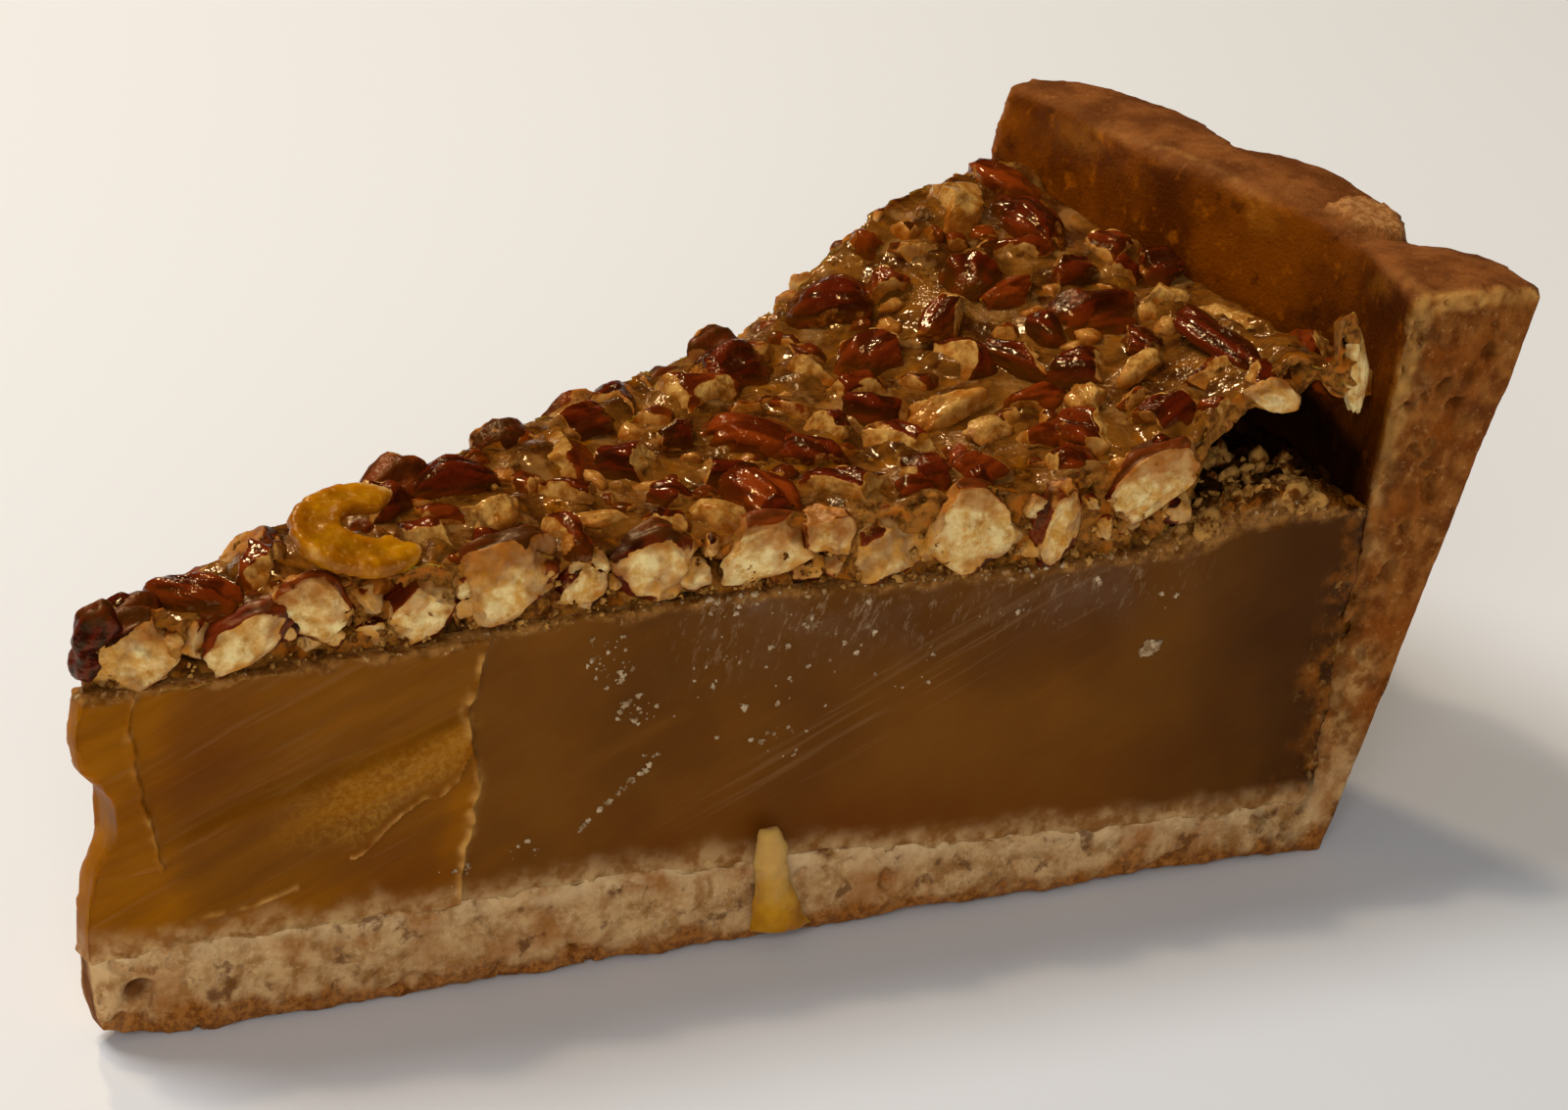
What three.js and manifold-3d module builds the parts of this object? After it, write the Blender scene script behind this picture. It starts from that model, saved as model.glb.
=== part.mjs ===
// A slice of deep pecan pie: a shortcrust shell with a fluted rim, a smooth set filling, and a glazed
// layer of chopped pecans that has lifted off the filling beside the wall.
//
// Millimetres, +Z up. The origin is on the underside, under the middle of the slice. +X runs from the
// point to the rim. The near cut is on the -Y side and the far cut on the +Y side.
//
// Shapes are worked out in pie terms: "radius" from the axis where the two cuts meet, "across" from -1
// at the near cut to +1 at the far cut, and "height" above the underside.

import * as THREE from "three";
import { mergeVertices } from "three/addons/utils/BufferGeometryUtils.js";
import Module from "manifold-3d";

const wasm = await Module();
wasm.setup();

// Driving dimensions
const SLICE_ANGLE = 28.2; // degrees between the two cuts
const AXIS_X = -62; // the pie's axis, from the origin
const BLUNT = 0.6; // half the width that the point keeps at the axis
const BASE_RADIUS = 107.5; // outer foot of the wall
const RIM_RADIUS = 122; // outer edge of the rim, at the crest of a flute
const RIM_INNER = 111.2; // inner edge of the rim
const WALL_INNER_FOOT = 105; // inner face of the wall, where it meets the floor
const RIM_HEIGHT = 50;
const WALL_BULGE = 1.6; // how far the inner wall swells under the rim at the far cut
const FLOOR_AT_POINT = 8.6; // thickness of the pastry floor
const FLOOR_AT_WALL = 5.6;
const FILLING_TOP = 30.4;
const GLAZE_AT_POINT = 34.2; // top of the glaze between the nuts
const GAP = 0.3; // left between one layer and the next
const WORN_EDGE = 1.1; // how far the underside's edges are worn up along the cuts and at the point

// The fluted rim
const FLUTE_PITCH = 10.9; // degrees
const FLUTE_NOTCH = -7.4; // degrees from the middle of the slice to one notch
const FLUTE_DEPTH = 5.4; // of a notch in the middle of the slice; the notches deepen towards the far cut
const RIM_WANDER = 1.7; // how far the rim's inner edge strays in and out
const RIM_WAVE = 0.4; // how far the rim's top rises and falls
const CHIP = { radius: 119.5, angle: -6.2, reach: 3.4, depth: 1.6 };

// The air pocket under the nuts, beside the wall at the near cut
const POCKET = { radius: 100.6, reachIn: 6.5, reachOut: 9, lift: 7.6 };
const CRUMB_BANK = { radius: 99, reach: 7.5, rise: 3 }; // loose crumbs on the filling, under the pocket

// The nuts
const CUT_STANDS = 0.5; // how far a cut nut may stand out of a cut face
const CUT_NUT_DEPTH = 6; // its size at right angles to the face
const NUT_SEED = 20;
const LEAN = 22; // degrees that a nut may roll about its own length
const NUT_COUNT = 94;
const NUT_SPACING = 0.225; // closest that two middles may come, as a share of both pieces' spans
const NUT_TRIES = 6000;

const HALF_ANGLE = THREE.MathUtils.degToRad(SLICE_ANGLE / 2);
const radians = THREE.MathUtils.degToRad;
const { smoothstep, lerp } = THREE.MathUtils;

// 1 at the middle of a bump, falling to 0 a few reaches away.
const bump = (distance, reach) => Math.exp(-((distance / reach) ** 2));

// Uneven relief between -1 and 1 with no pattern that shows: three waves, each bent by another.
function crag(x, y, z, size) {
  const a = (6.28 * x) / size;
  const b = (6.28 * y) / size;
  const c = (6.28 * z) / size;
  return (
    (Math.sin(a + 1.7 * Math.sin(0.61 * c + 0.4 * b)) +
      Math.sin(0.83 * c + 1.3 * Math.sin(0.71 * a + 2)) +
      Math.sin(0.77 * b + 1.1 * Math.sin(0.53 * a - 0.67 * c))) /
    3
  );
}

// A seeded stream of numbers from 0 to 1.
function drawFrom(seed) {
  let state = seed;
  return () => {
    state = (state * 16807) % 2147483647;
    return state / 2147483647;
  };
}

// ---- The shape of each layer ----

const floorTop = (radius) =>
  lerp(FLOOR_AT_POINT, FLOOR_AT_WALL, smoothstep(radius, 35, 108));

const fillingTop = (radius, across) =>
  FILLING_TOP +
  1.3 * bump(radius - 48, 22) +
  1.1 * smoothstep(radius, 88, 99) +
  CRUMB_BANK.rise *
    bump(radius - CRUMB_BANK.radius, CRUMB_BANK.reach) *
    smoothstep(-across, 0, 1);

// The nut layer climbs towards the wall, more at the far cut, and arches over the pocket.
const glazeTop = (radius, across) =>
  GLAZE_AT_POINT +
  2.4 * smoothstep(radius, 2, 22) +
  (4.1 + 2.9 * across) * smoothstep(radius, 74, 97) +
  2.6 * bump(radius - 100, 8) * smoothstep(-across, 0, 1);

// How far the nut layer stands off the filling: only at the pocket, and only on the near side.
function pocketLift(radius, across) {
  const offset = radius - POCKET.radius;
  const reach = offset < 0 ? POCKET.reachIn : POCKET.reachOut;
  return POCKET.lift * bump(offset, reach) * smoothstep(-across, -0.15, 0.7);
}

// The blunt point of the slice: the filling bulges under the nuts and is bitten away below that.
const pointRadius = (height) =>
  1.3 + 2.6 * bump(height - 19.6, 3.6) - 1.4 * bump(height - 26, 2.2);

// 0 in a notch and 1 on a crest, steeper on the side that comes first.
function flute(degrees) {
  const turns = (degrees - FLUTE_NOTCH) / FLUTE_PITCH;
  const share = turns - Math.floor(turns);
  return Math.sin(Math.PI * share ** 0.85) ** 0.5;
}

const rimInner = (degrees) =>
  RIM_INNER + RIM_WANDER * Math.cos(0.33 * (degrees + 6));

function wallOuter(height, degrees) {
  const share = height / RIM_HEIGHT;
  const depth = FLUTE_DEPTH * (1 + 0.03 * degrees);
  const notch = depth * (1 - flute(degrees)) * share ** 1.3;
  return lerp(BASE_RADIUS, RIM_RADIUS, share) - notch;
}

function wallInner(height, degrees) {
  const share = Math.max(0, height - FLOOR_AT_WALL) / (RIM_HEIGHT - FLOOR_AT_WALL);
  const bulge = WALL_BULGE * bump(height - 39, 9) * smoothstep(degrees, 6, 14);
  return lerp(WALL_INNER_FOOT, rimInner(degrees), share) - bulge;
}

// The rim's top: gentle waves, a worn outer edge, and one chip.
function rimTop(radius, degrees) {
  const edge = radius - wallOuter(RIM_HEIGHT, degrees);
  const chipAway = Math.hypot(
    radius - CHIP.radius,
    radians(degrees - CHIP.angle) * radius,
  );
  return (
    RIM_HEIGHT +
    RIM_WAVE * Math.sin(0.45 * degrees + 1) -
    0.5 * bump(edge, 1.6) -
    CHIP.depth * bump(chipAway, CHIP.reach)
  );
}

// ---- Making solids ----

// A point given in pie terms. Crags on a cut face push it out or in along the face.
function place(radius, across, height, roughness = 0, size = 6) {
  const angle = across * HALF_ANGLE;
  const rough =
    roughness * across ** 9 * crag(radius, across * 9, height, size);
  return new THREE.Vector3(
    radius * Math.cos(angle) + AXIS_X,
    radius * Math.sin(angle) + across * BLUNT + rough,
    height,
  );
}

// A box of cells [along, across, up], bent by a rule that turns its three shares into a point.
function block(cells, bend) {
  const geometry = new THREE.BoxGeometry(1, 1, 1, ...cells);
  const position = geometry.attributes.position;
  for (let i = 0; i < position.count; i++) {
    const point = bend(
      position.getX(i) + 0.5,
      position.getY(i) * 2,
      position.getZ(i) + 0.5,
    );
    position.setXYZ(i, point.x, point.y, point.z);
  }
  return bare(geometry);
}

// Position only, with shared vertices merged, so that the surface is closed.
function bare(geometry) {
  geometry.deleteAttribute("normal");
  geometry.deleteAttribute("uv");
  return mergeVertices(geometry, 1e-3);
}

function toSolid(geometry) {
  return new wasm.Manifold(
    new wasm.Mesh({
      numProp: 3,
      vertProperties: new Float32Array(geometry.attributes.position.array),
      triVerts: new Uint32Array(geometry.index.array),
    }),
  );
}

function fromSolid(solid) {
  const mesh = solid.getMesh();
  const geometry = new THREE.BufferGeometry();
  geometry.setAttribute(
    "position",
    new THREE.BufferAttribute(new Float32Array(mesh.vertProperties), 3),
  );
  geometry.setIndex(new THREE.BufferAttribute(mesh.triVerts, 1));
  return geometry;
}

// Only the largest shell of a joined solid: no loose scraps, and no bubble sealed between nuts.
function largestShell(geometry) {
  const index = geometry.index.array;
  const owner = Array.from({ length: geometry.attributes.position.count }, (_, i) => i);
  const root = (i) => {
    while (owner[i] !== i) i = owner[i] = owner[owner[i]];
    return i;
  };
  for (let i = 0; i < index.length; i += 3) {
    owner[root(index[i + 1])] = root(index[i]);
    owner[root(index[i + 2])] = root(index[i]);
  }
  const shells = new Map();
  for (let i = 0; i < index.length; i += 3) {
    const shell = root(index[i]);
    if (!shells.has(shell)) shells.set(shell, []);
    shells.get(shell).push(index[i], index[i + 1], index[i + 2]);
  }
  const largest = [...shells.values()].sort((a, b) => b.length - a.length)[0];
  geometry.setIndex(largest);
  return geometry;
}

// ---- Crust: floor, wall and rim in one bent slab ----

function crustGeometry() {
  const floorShare = 20 / 34; // of the cells along; the rest climb the wall
  return block([34, 18, 3], (along, across, up) => {
    const degrees = (across * SLICE_ANGLE) / 2;
    const under = { radius: 0, height: 0 };
    const over = { radius: 0, height: 0 };
    if (along < floorShare) {
      const share = along / floorShare;
      under.radius = lerp(2.4, BASE_RADIUS, share);
      over.radius = lerp(1.4, WALL_INNER_FOOT, share);
      over.height = floorTop(over.radius);
    } else {
      const climb = (along - floorShare) / (1 - floorShare);
      const outerHeight = RIM_HEIGHT * climb;
      const innerHeight = lerp(FLOOR_AT_WALL, RIM_HEIGHT, climb);
      under.radius = wallOuter(outerHeight, degrees);
      under.height = outerHeight;
      over.radius = wallInner(innerHeight, degrees);
      over.height = innerHeight;
    }
    const atEdge = Math.abs(across) > 0.99 || along < 0.01;
    if (atEdge && along < floorShare) {
      under.height = WORN_EDGE * (0.8 + 0.5 * crag(under.radius, across * 5, 0, 13));
    }
    const radius = lerp(under.radius, over.radius, up);
    const height = lerp(under.height, over.height, up);
    const atRim = along > 0.999;
    const top = atRim ? rimTop(radius, degrees) : height;
    return place(radius, across, top, 0.55, 4.3);
  });
}

// ---- Filling: smooth, with the thin sheet that the knife smeared over the near cut ----

const SMEAR = { edge: 31, thickness: 0.7, raggedness: 1.4 };

function fillingGeometry() {
  return block([26, 8, 7], (along, across, up) => {
    const heightAtPoint = lerp(floorTop(0) + GAP, fillingTop(0, across), up);
    const heightAtWall = lerp(floorTop(108) + GAP, fillingTop(108, across), up);
    const wall = wallInner(heightAtWall, (across * SLICE_ANGLE) / 2) - GAP;
    const radius = lerp(pointRadius(heightAtPoint), wall, along);
    const height = lerp(floorTop(radius) + GAP, fillingTop(radius, across), up);
    const point = place(radius, across, height, 0.25, 11);
    const edge = SMEAR.edge + SMEAR.raggedness * crag(0, height, 3, 9);
    const smeared = smoothstep(edge - radius, -1, 1) * Math.max(0, -across) ** 9;
    point.y -= SMEAR.thickness * smeared;
    return point;
  });
}

// ---- Nut layer: a glazed core with the chopped pecans fused into it ----

// The pieces that stand out most: along the slice, across it, length, width, heading in degrees.
const LARGEST_PIECES = [
  [100.5, -12.5, 14, 4.5, -100],
  [104.5, -8.5, 11, 4.5, -88],
  [97, 0, 7.5, 6, 5],
  [88, -2, 9, 3.2, -80],
  [62, 0.5, 8, 5.6, -50],
  [63, -11.5, 9, 6, -80],
  [56.5, -8.5, 8, 5, -95],
  [50.5, 1, 6, 4.6, -50],
  [56, -4, 6, 4, -30],
  [37, -1, 8.5, 5, 25],
  [36.5, 5, 7.5, 4.6, -10],
  [44, -7, 7, 2.6, -30],
  [68.5, 12, 7.5, 6, 15],
  [51, 9.5, 7, 4.4, 10],
  [81.5, 16, 7, 6, -35],
  [80, 7.5, 7, 5, 12],
  [87, 7, 8.5, 4.5, 26],
  [80, -3.5, 9.5, 4.4, 5],
  [85, -15, 8, 5.4, -85],
  [91, -17.5, 8.5, 4.6, 10],
  [74.5, -13.5, 7, 5.4, 10],
  [71.5, -7, 8, 5, -95],
  [102, 15, 9, 4.6, -95],
  [97, 20, 8, 6, -10],
  [17, 0, 8, 5, -85],
  [11.5, 0.5, 7, 3.6, -60],
];

// Nuts that the knife went through: radius, height, length, thickness, and how far the length is turned
// up from level, in degrees.
const CUT_PIECES = [
  [6.5, 33, 6.5, 5, 15],
  [13.5, 33.2, 7, 4, 30],
  [19, 35, 6, 4.4, -35],
  [27, 33.2, 6, 4.2, 35],
  [34, 35.2, 8, 6.4, 20],
  [40, 33.6, 4.5, 3.5, 60],
  [46, 34.8, 6.5, 5.4, -10],
  [55, 35, 8.5, 4.6, 12],
  [60, 35.8, 4, 4, 80],
  [65.5, 33.6, 6, 5, 25],
  [72, 34.6, 7.5, 6.4, -20],
  [80, 34, 7, 3.6, 75],
  [88, 36.6, 8.5, 4.4, 28],
];
// A flake that stands up beside the wall at the near cut.
const FLAKE = [105.4, 43.2, 8.4, 2.8, 97];

function chooseNuts() {
  const draw = drawFrom(NUT_SEED);
  const nuts = LARGEST_PIECES.map(([x, y, length, width, heading]) => ({
    x,
    y,
    length,
    width,
    thickness: Math.min(width, 4.6),
    heading,
    lean: LEAN * (2 * draw() - 1),
    shape: draw(),
  }));
  for (let tries = 0; tries < NUT_TRIES && nuts.length < NUT_COUNT; tries++) {
    const radius = 4 + 104 * Math.sqrt(draw());
    const across = 2 * draw() - 1;
    const length = 5 + 4.2 * draw() ** 1.4;
    const slender = 0.58 + 0.32 * draw();
    const nut = {
      x: radius * Math.cos(across * HALF_ANGLE),
      y: radius * Math.sin(across * HALF_ANGLE),
      length,
      width: length * slender,
      thickness: Math.min(length * slender, 4.2),
      heading: 360 * draw(),
      lean: LEAN * (2 * draw() - 1),
      shape: draw(),
    };
    const clear = nuts.every(
      (other) =>
        Math.hypot(nut.x - other.x, nut.y - other.y) >
        NUT_SPACING * (nut.length + nut.width + other.length + other.width),
    );
    if (clear) nuts.push(nut);
  }
  return nuts;
}

// One chopped piece: a lumpy pebble of a few sides, longest along its own X.
function pieceGeometry(length, width, thickness, shape) {
  const geometry = bare(new THREE.SphereGeometry(1, 6, 3));
  const position = geometry.attributes.position;
  for (let i = 0; i < position.count; i++) {
    const [x, y, z] = [position.getX(i), position.getY(i), position.getZ(i)];
    const lump = 1 + 0.3 * crag(x + 9 * shape, y, z + 5 * shape, 2.3);
    position.setXYZ(
      i,
      (x * lump * length) / 2,
      (z * lump * width) / 2,
      (-y * lump * thickness) / 2,
    );
  }
  return geometry;
}

// A nut on top lies along the surface, half sunk in the glaze.
function topNut(nut) {
  const radius = Math.hypot(nut.x, nut.y);
  const across = Math.atan2(nut.y, nut.x) / HALF_ANGLE;
  const reach = nut.length / 2;
  const rise = glazeTop(radius + reach, across) - glazeTop(radius - reach, across);
  const tilt = Math.atan(rise / nut.length);
  return toSolid(
    pieceGeometry(nut.length, nut.width, nut.thickness, nut.shape)
      .rotateX(radians(nut.lean))
      .rotateZ(radians(nut.heading))
      .rotateY(-tilt)
      .translate(nut.x + AXIS_X, nut.y, glazeTop(radius, across)),
  );
}

// A cut nut has its middle on the cut, and the knife takes away the half that stands outside.
function cutNut([radius, height, length, thickness, turn], side, shape) {
  const centre = place(radius, side, height);
  return toSolid(
    pieceGeometry(length, CUT_NUT_DEPTH, thickness, shape)
      .rotateY(-radians(turn))
      .rotateZ(side * HALF_ANGLE)
      .translate(centre.x, centre.y, centre.z),
  );
}

function glazeCore() {
  return block([22, 8, 2], (along, across, up) => {
    const degrees = (across * SLICE_ANGLE) / 2;
    const shortOfWall = 1.6 * smoothstep(-across, 0, 1);
    const wall = wallInner(36, degrees) - 0.6 - shortOfWall;
    const radius = lerp(1.9, wall, along);
    const bottom = fillingTop(radius, across) + 1.6 * GAP + pocketLift(radius, across);
    const top = glazeTop(radius, across) + 0.5 * crag(radius, 11 * across, 0, 7);
    return place(radius, across, lerp(bottom, Math.max(top, bottom + 1.2), up), 0.3, 5);
  });
}

// The space that the nuts may fill: up to the wall, and a little wider than the two cuts, so that cut
// nuts stand out of the faces.
function spaceForNuts() {
  const space = block([14, 8, 2], (along, across, up) => {
    const degrees = (across * SLICE_ANGLE) / 2;
    const wall = wallInner(lerp(30, 58, up), degrees) - GAP;
    const radius = lerp(1.2, wall, along);
    const height = lerp(fillingTop(radius, across) + GAP, 58, up);
    const point = place(radius, across, height);
    point.y += across * CUT_STANDS;
    return point;
  });
  return toSolid(space);
}

function pecanGeometry() {
  const draw = drawFrom(NUT_SEED + 1);
  let layer = toSolid(glazeCore());
  for (const nut of chooseNuts()) layer = layer.add(topNut(nut));
  layer = layer.add(cutNut(FLAKE, -1, 0.3));
  for (const side of [-1, 1]) {
    for (const piece of CUT_PIECES) layer = layer.add(cutNut(piece, side, draw()));
  }
  const bed = toSolid(curlGeometry(GAP));
  return largestShell(fromSolid(layer.intersect(spaceForNuts()).subtract(bed)));
}

// ---- Two scraps that lie on the slice ----

// A curl of set glaze on the nuts near the point: a C-shaped flake, tipped towards the near cut.
const CURL = { x: 24, y: -2.4, height: 38.6, outer: 5, inner: 1.7, thickness: 1.2 };

// The curl, or with a margin the bed that it lies in.
function curlGeometry(margin = 0) {
  const outer = CURL.outer + margin;
  const inner = CURL.inner - margin;
  return block([14, 2, 1], (along, across, up) => {
    const angle = radians(lerp(30 - 5 * margin, 292 + 5 * margin, along));
    const width = Math.sin(Math.PI * lerp(0.14, 0.84, along)) ** 0.5;
    const middle = (outer + inner) / 2;
    const offset = (-across * width * (outer - inner)) / 2;
    return new THREE.Vector3(
      (middle + offset) * Math.cos(angle) * 1.2,
      (middle + offset) * Math.sin(angle),
      0.16 * offset ** 2 + lerp(-margin, CURL.thickness + margin, up),
    );
  })
    .rotateX(radians(20))
    .rotateZ(radians(10))
    .translate(CURL.x + AXIS_X, CURL.y, CURL.height);
}

// A smear of filling that the knife dragged down over the floor's cut edge.
const SMEAR_DROP = { radius: 56, top: 11.4, bottom: 1.8, width: 5.4, thickness: 1.1 };

function dropGeometry() {
  return block([6, 1, 6], (along, across, up) => {
    const height = lerp(SMEAR_DROP.bottom, SMEAR_DROP.top, up);
    const width = SMEAR_DROP.width * lerp(1, 0.32, up ** 0.7);
    const offset = (along - 0.5) * width + 1.6 * (1 - up) * (1 - up);
    const crown = 1 - 0.75 * (2 * along - 1) ** 2;
    const out = 1.1 + ((1 - across) / 2) * SMEAR_DROP.thickness * crown;
    const point = place(SMEAR_DROP.radius + offset, -1, height);
    point.x -= out * Math.sin(HALF_ANGLE);
    point.y -= out * Math.cos(HALF_ANGLE);
    return point;
  });
}

// ---- The slice ----

const finish = {
  crust: new THREE.MeshStandardMaterial({ color: 0x9c6a35, roughness: 0.85, metalness: 0 }),
  filling: new THREE.MeshStandardMaterial({ color: 0x6a3f14, roughness: 0.4, metalness: 0 }),
  nuts: new THREE.MeshStandardMaterial({ color: 0x8a4a1c, roughness: 0.3, metalness: 0 }),
  amber: new THREE.MeshStandardMaterial({ color: 0xc08018, roughness: 0.3, metalness: 0 }),
};

function part(name, geometry, material) {
  const mesh = new THREE.Mesh(geometry, material);
  mesh.name = name;
  return mesh;
}

const slice = new THREE.Group();
slice.add(
  part("crust", crustGeometry(), finish.crust),
  part("filling", fillingGeometry(), finish.filling),
  part("pecan_topping", pecanGeometry(), finish.nuts),
  part("glaze_curl", curlGeometry(), finish.amber),
  part("filling_drop", dropGeometry(), finish.amber),
);

export default slice;
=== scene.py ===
"""A slice of deep pecan pie: crumbly shortcrust, translucent set filling, and glazed chopped pecans."""

import math

import bmesh
import bpy
from mathutils import Matrix, Vector, noise


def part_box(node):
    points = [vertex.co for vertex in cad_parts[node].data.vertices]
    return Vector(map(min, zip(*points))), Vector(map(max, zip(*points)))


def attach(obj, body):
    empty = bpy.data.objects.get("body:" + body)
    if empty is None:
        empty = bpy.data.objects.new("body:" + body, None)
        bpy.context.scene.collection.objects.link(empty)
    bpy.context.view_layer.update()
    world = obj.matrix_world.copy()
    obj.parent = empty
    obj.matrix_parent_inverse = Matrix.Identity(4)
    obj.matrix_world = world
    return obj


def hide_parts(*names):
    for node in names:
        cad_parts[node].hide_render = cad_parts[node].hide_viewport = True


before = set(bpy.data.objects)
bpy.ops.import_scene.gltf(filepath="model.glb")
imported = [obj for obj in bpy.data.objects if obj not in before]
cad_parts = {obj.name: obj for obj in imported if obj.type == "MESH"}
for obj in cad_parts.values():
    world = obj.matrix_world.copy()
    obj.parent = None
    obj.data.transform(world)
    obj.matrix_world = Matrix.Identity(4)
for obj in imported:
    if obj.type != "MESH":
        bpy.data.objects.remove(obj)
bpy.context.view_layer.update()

MM = 0.001

# ---- The slice's own measures, in millimetres and degrees, as its solids have them ----

SLICE_ANGLE = 28.2
HALF_ANGLE = math.radians(SLICE_ANGLE / 2)
AXIS_X = -62
BLUNT = 0.6
BASE_RADIUS = 107.5
RIM_RADIUS = 122
RIM_INNER = 111.2
WALL_INNER_FOOT = 105
RIM_HEIGHT = 50
FLOOR_AT_POINT = 8.6
FLOOR_AT_WALL = 5.6
FILLING_TOP = 30.4
GLAZE_AT_POINT = 34.2
CUT_NORMALS = {
    -1: Vector((-math.sin(HALF_ANGLE), -math.cos(HALF_ANGLE), 0)),
    1: Vector((-math.sin(HALF_ANGLE), math.cos(HALF_ANGLE), 0)),
}


def lerp(a, b, share):
    return a + (b - a) * share


def clamp(value, low=0.0, high=1.0):
    return max(low, min(high, value))


def smoothstep(value, low, high):
    share = clamp((value - low) / (high - low))
    return share * share * (3 - 2 * share)


def bump(distance, reach):
    return math.exp(-((distance / reach) ** 2))


def wobble(point, size, octaves=3, seed=0.0):
    """Fractal noise between about -1 and 1, for a point in millimetres."""
    scaled = Vector(point) / size + Vector((seed, 2.3 * seed, -1.7 * seed))
    return noise.fractal(scaled, 0.9, 2.0, octaves)


def pie_terms(point):
    """Radius from the pie's axis, share across (-1 near cut, 1 far cut) and height, in millimetres."""
    x = point.x / MM - AXIS_X
    y = point.y / MM
    return math.hypot(x, y), math.atan2(y, x) / HALF_ANGLE, point.z / MM


def outside(point, side):
    """How far a point in metres stands out of one cut's plane, in millimetres; inside is negative."""
    x = point.x / MM - AXIS_X
    offset = Vector((x, point.y / MM, 0)).dot(CUT_NORMALS[side])
    return offset - BLUNT * math.cos(HALF_ANGLE)


def nearer_cut(point):
    """The side of the slice that a point is nearer to: -1 or 1."""
    return -1 if outside(point, -1) > outside(point, 1) else 1


def past_cuts(point):
    """How far a point stands out of the cut that it is nearer to; inside is negative."""
    return max(outside(point, -1), outside(point, 1))


def outward(across):
    """The level way out from the pie's axis, at a share across the slice."""
    turn = across * HALF_ANGLE
    return Vector((math.cos(turn), math.sin(turn), 0))


def on_cut(radius, side, height, out):
    """A point in metres on a cut's plane, or standing out of it."""
    flat = Vector((
        AXIS_X + radius * math.cos(HALF_ANGLE),
        side * (radius * math.sin(HALF_ANGLE) + BLUNT),
        height,
    ))
    return (flat + out * CUT_NORMALS[side]) * MM


def floor_top(radius):
    """The height of the crust's floor."""
    return lerp(FLOOR_AT_POINT, FLOOR_AT_WALL, smoothstep(radius, 35, 108))


def filling_top(radius, across):
    """The height of the filling's top, with its hump and the bank in the hollow."""
    hump = 1.3 * bump(radius - 48, 22) + 1.1 * smoothstep(radius, 88, 99)
    bank = 3 * bump(radius - 99, 7.5) * smoothstep(-across, 0, 1)
    return FILLING_TOP + hump + bank


def glaze_top(radius, across):
    """The height of the nut layer's top, with its arch over the hollow."""
    climb = 2.4 * smoothstep(radius, 2, 22) + (4.1 + 2.9 * across) * smoothstep(radius, 74, 97)
    arch = 2.6 * bump(radius - 100, 8) * smoothstep(-across, 0, 1)
    return GLAZE_AT_POINT + climb + arch


def follow(line, at):
    """The second number of a line of points at a place along the first."""
    for (start, low), (end, high) in zip(line, line[1:]):
        if at <= end:
            return lerp(low, high, clamp((at - start) / (end - start)))
    return line[-1][1]


def draw_from(seed):
    """A seeded stream of numbers from 0 to 1."""
    state = seed
    while True:
        state = (state * 16807) % 2147483647
        yield state / 2147483647


# ---- Tools for meshes ----

def piece_from(name, bm):
    mesh = bpy.data.meshes.new(name)
    bm.to_mesh(mesh)
    bm.free()
    mesh.shade_smooth()
    piece = bpy.data.objects.new(name, mesh)
    bpy.context.scene.collection.objects.link(piece)
    return piece


def set_apart(bm):
    """One small part's mesh, to be joined with its fellows later."""
    mesh = bpy.data.meshes.new("part")
    bm.to_mesh(mesh)
    bm.free()
    return mesh


def joined(name, parts):
    bm = bmesh.new()
    for mesh in parts:
        bm.from_mesh(mesh)
        bpy.data.meshes.remove(mesh)
    return piece_from(name, bm)


def softened_copy(node, name, voxel, passes):
    """A copy of a solid with even small faces and rounded edges. The voxel is in millimetres."""
    bm = bmesh.new()
    bm.from_mesh(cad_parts[node].data)
    bmesh.ops.remove_doubles(bm, verts=bm.verts, dist=0.001 * MM)
    piece = piece_from(name, bm)
    remesh = piece.modifiers.new("even", "REMESH")
    remesh.mode = "VOXEL"
    remesh.voxel_size = voxel * MM
    smooth = piece.modifiers.new("soft", "SMOOTH")
    smooth.factor = 0.5
    smooth.iterations = passes
    graph = bpy.context.evaluated_depsgraph_get()
    made = bpy.data.meshes.new_from_object(piece.evaluated_get(graph))
    piece.modifiers.clear()
    piece.data = made
    made.name = name
    made.shade_smooth()
    return piece


def refine(piece, wanted):
    """Halves the faces where the rule on a vertex says so."""
    bm = bmesh.new()
    bm.from_mesh(piece.data)
    chosen = {v for v in bm.verts if wanted(v)}
    edges = [e for e in bm.edges if e.verts[0] in chosen and e.verts[1] in chosen]
    bmesh.ops.subdivide_edges(bm, edges=edges, cuts=1, use_grid_fill=True)
    bmesh.ops.triangulate(bm, faces=[f for f in bm.faces if len(f.verts) > 4])
    bm.to_mesh(piece.data)
    bm.free()
    piece.data.shade_smooth()


def reshape(piece, rule):
    """Moves each vertex by the vector in millimetres that the rule gives for its point and normal."""
    moves = [rule(v.co, v.normal) for v in piece.data.vertices]
    for vertex, move in zip(piece.data.vertices, moves):
        vertex.co += move * MM


def paint(piece, **rules):
    """Keeps a number for each vertex under each rule's name, for the finish to read."""
    for name, rule in rules.items():
        layer = piece.data.attributes.new(name, "FLOAT", "POINT")
        values = [rule(v.co, v.normal) for v in piece.data.vertices]
        layer.data.foreach_set("value", values)


def finish_piece(piece, material, node):
    piece.data.materials.clear()
    piece.data.materials.append(material)
    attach(piece, "root")
    if node:
        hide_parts(node)


# ---- Tools for materials ----

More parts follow.
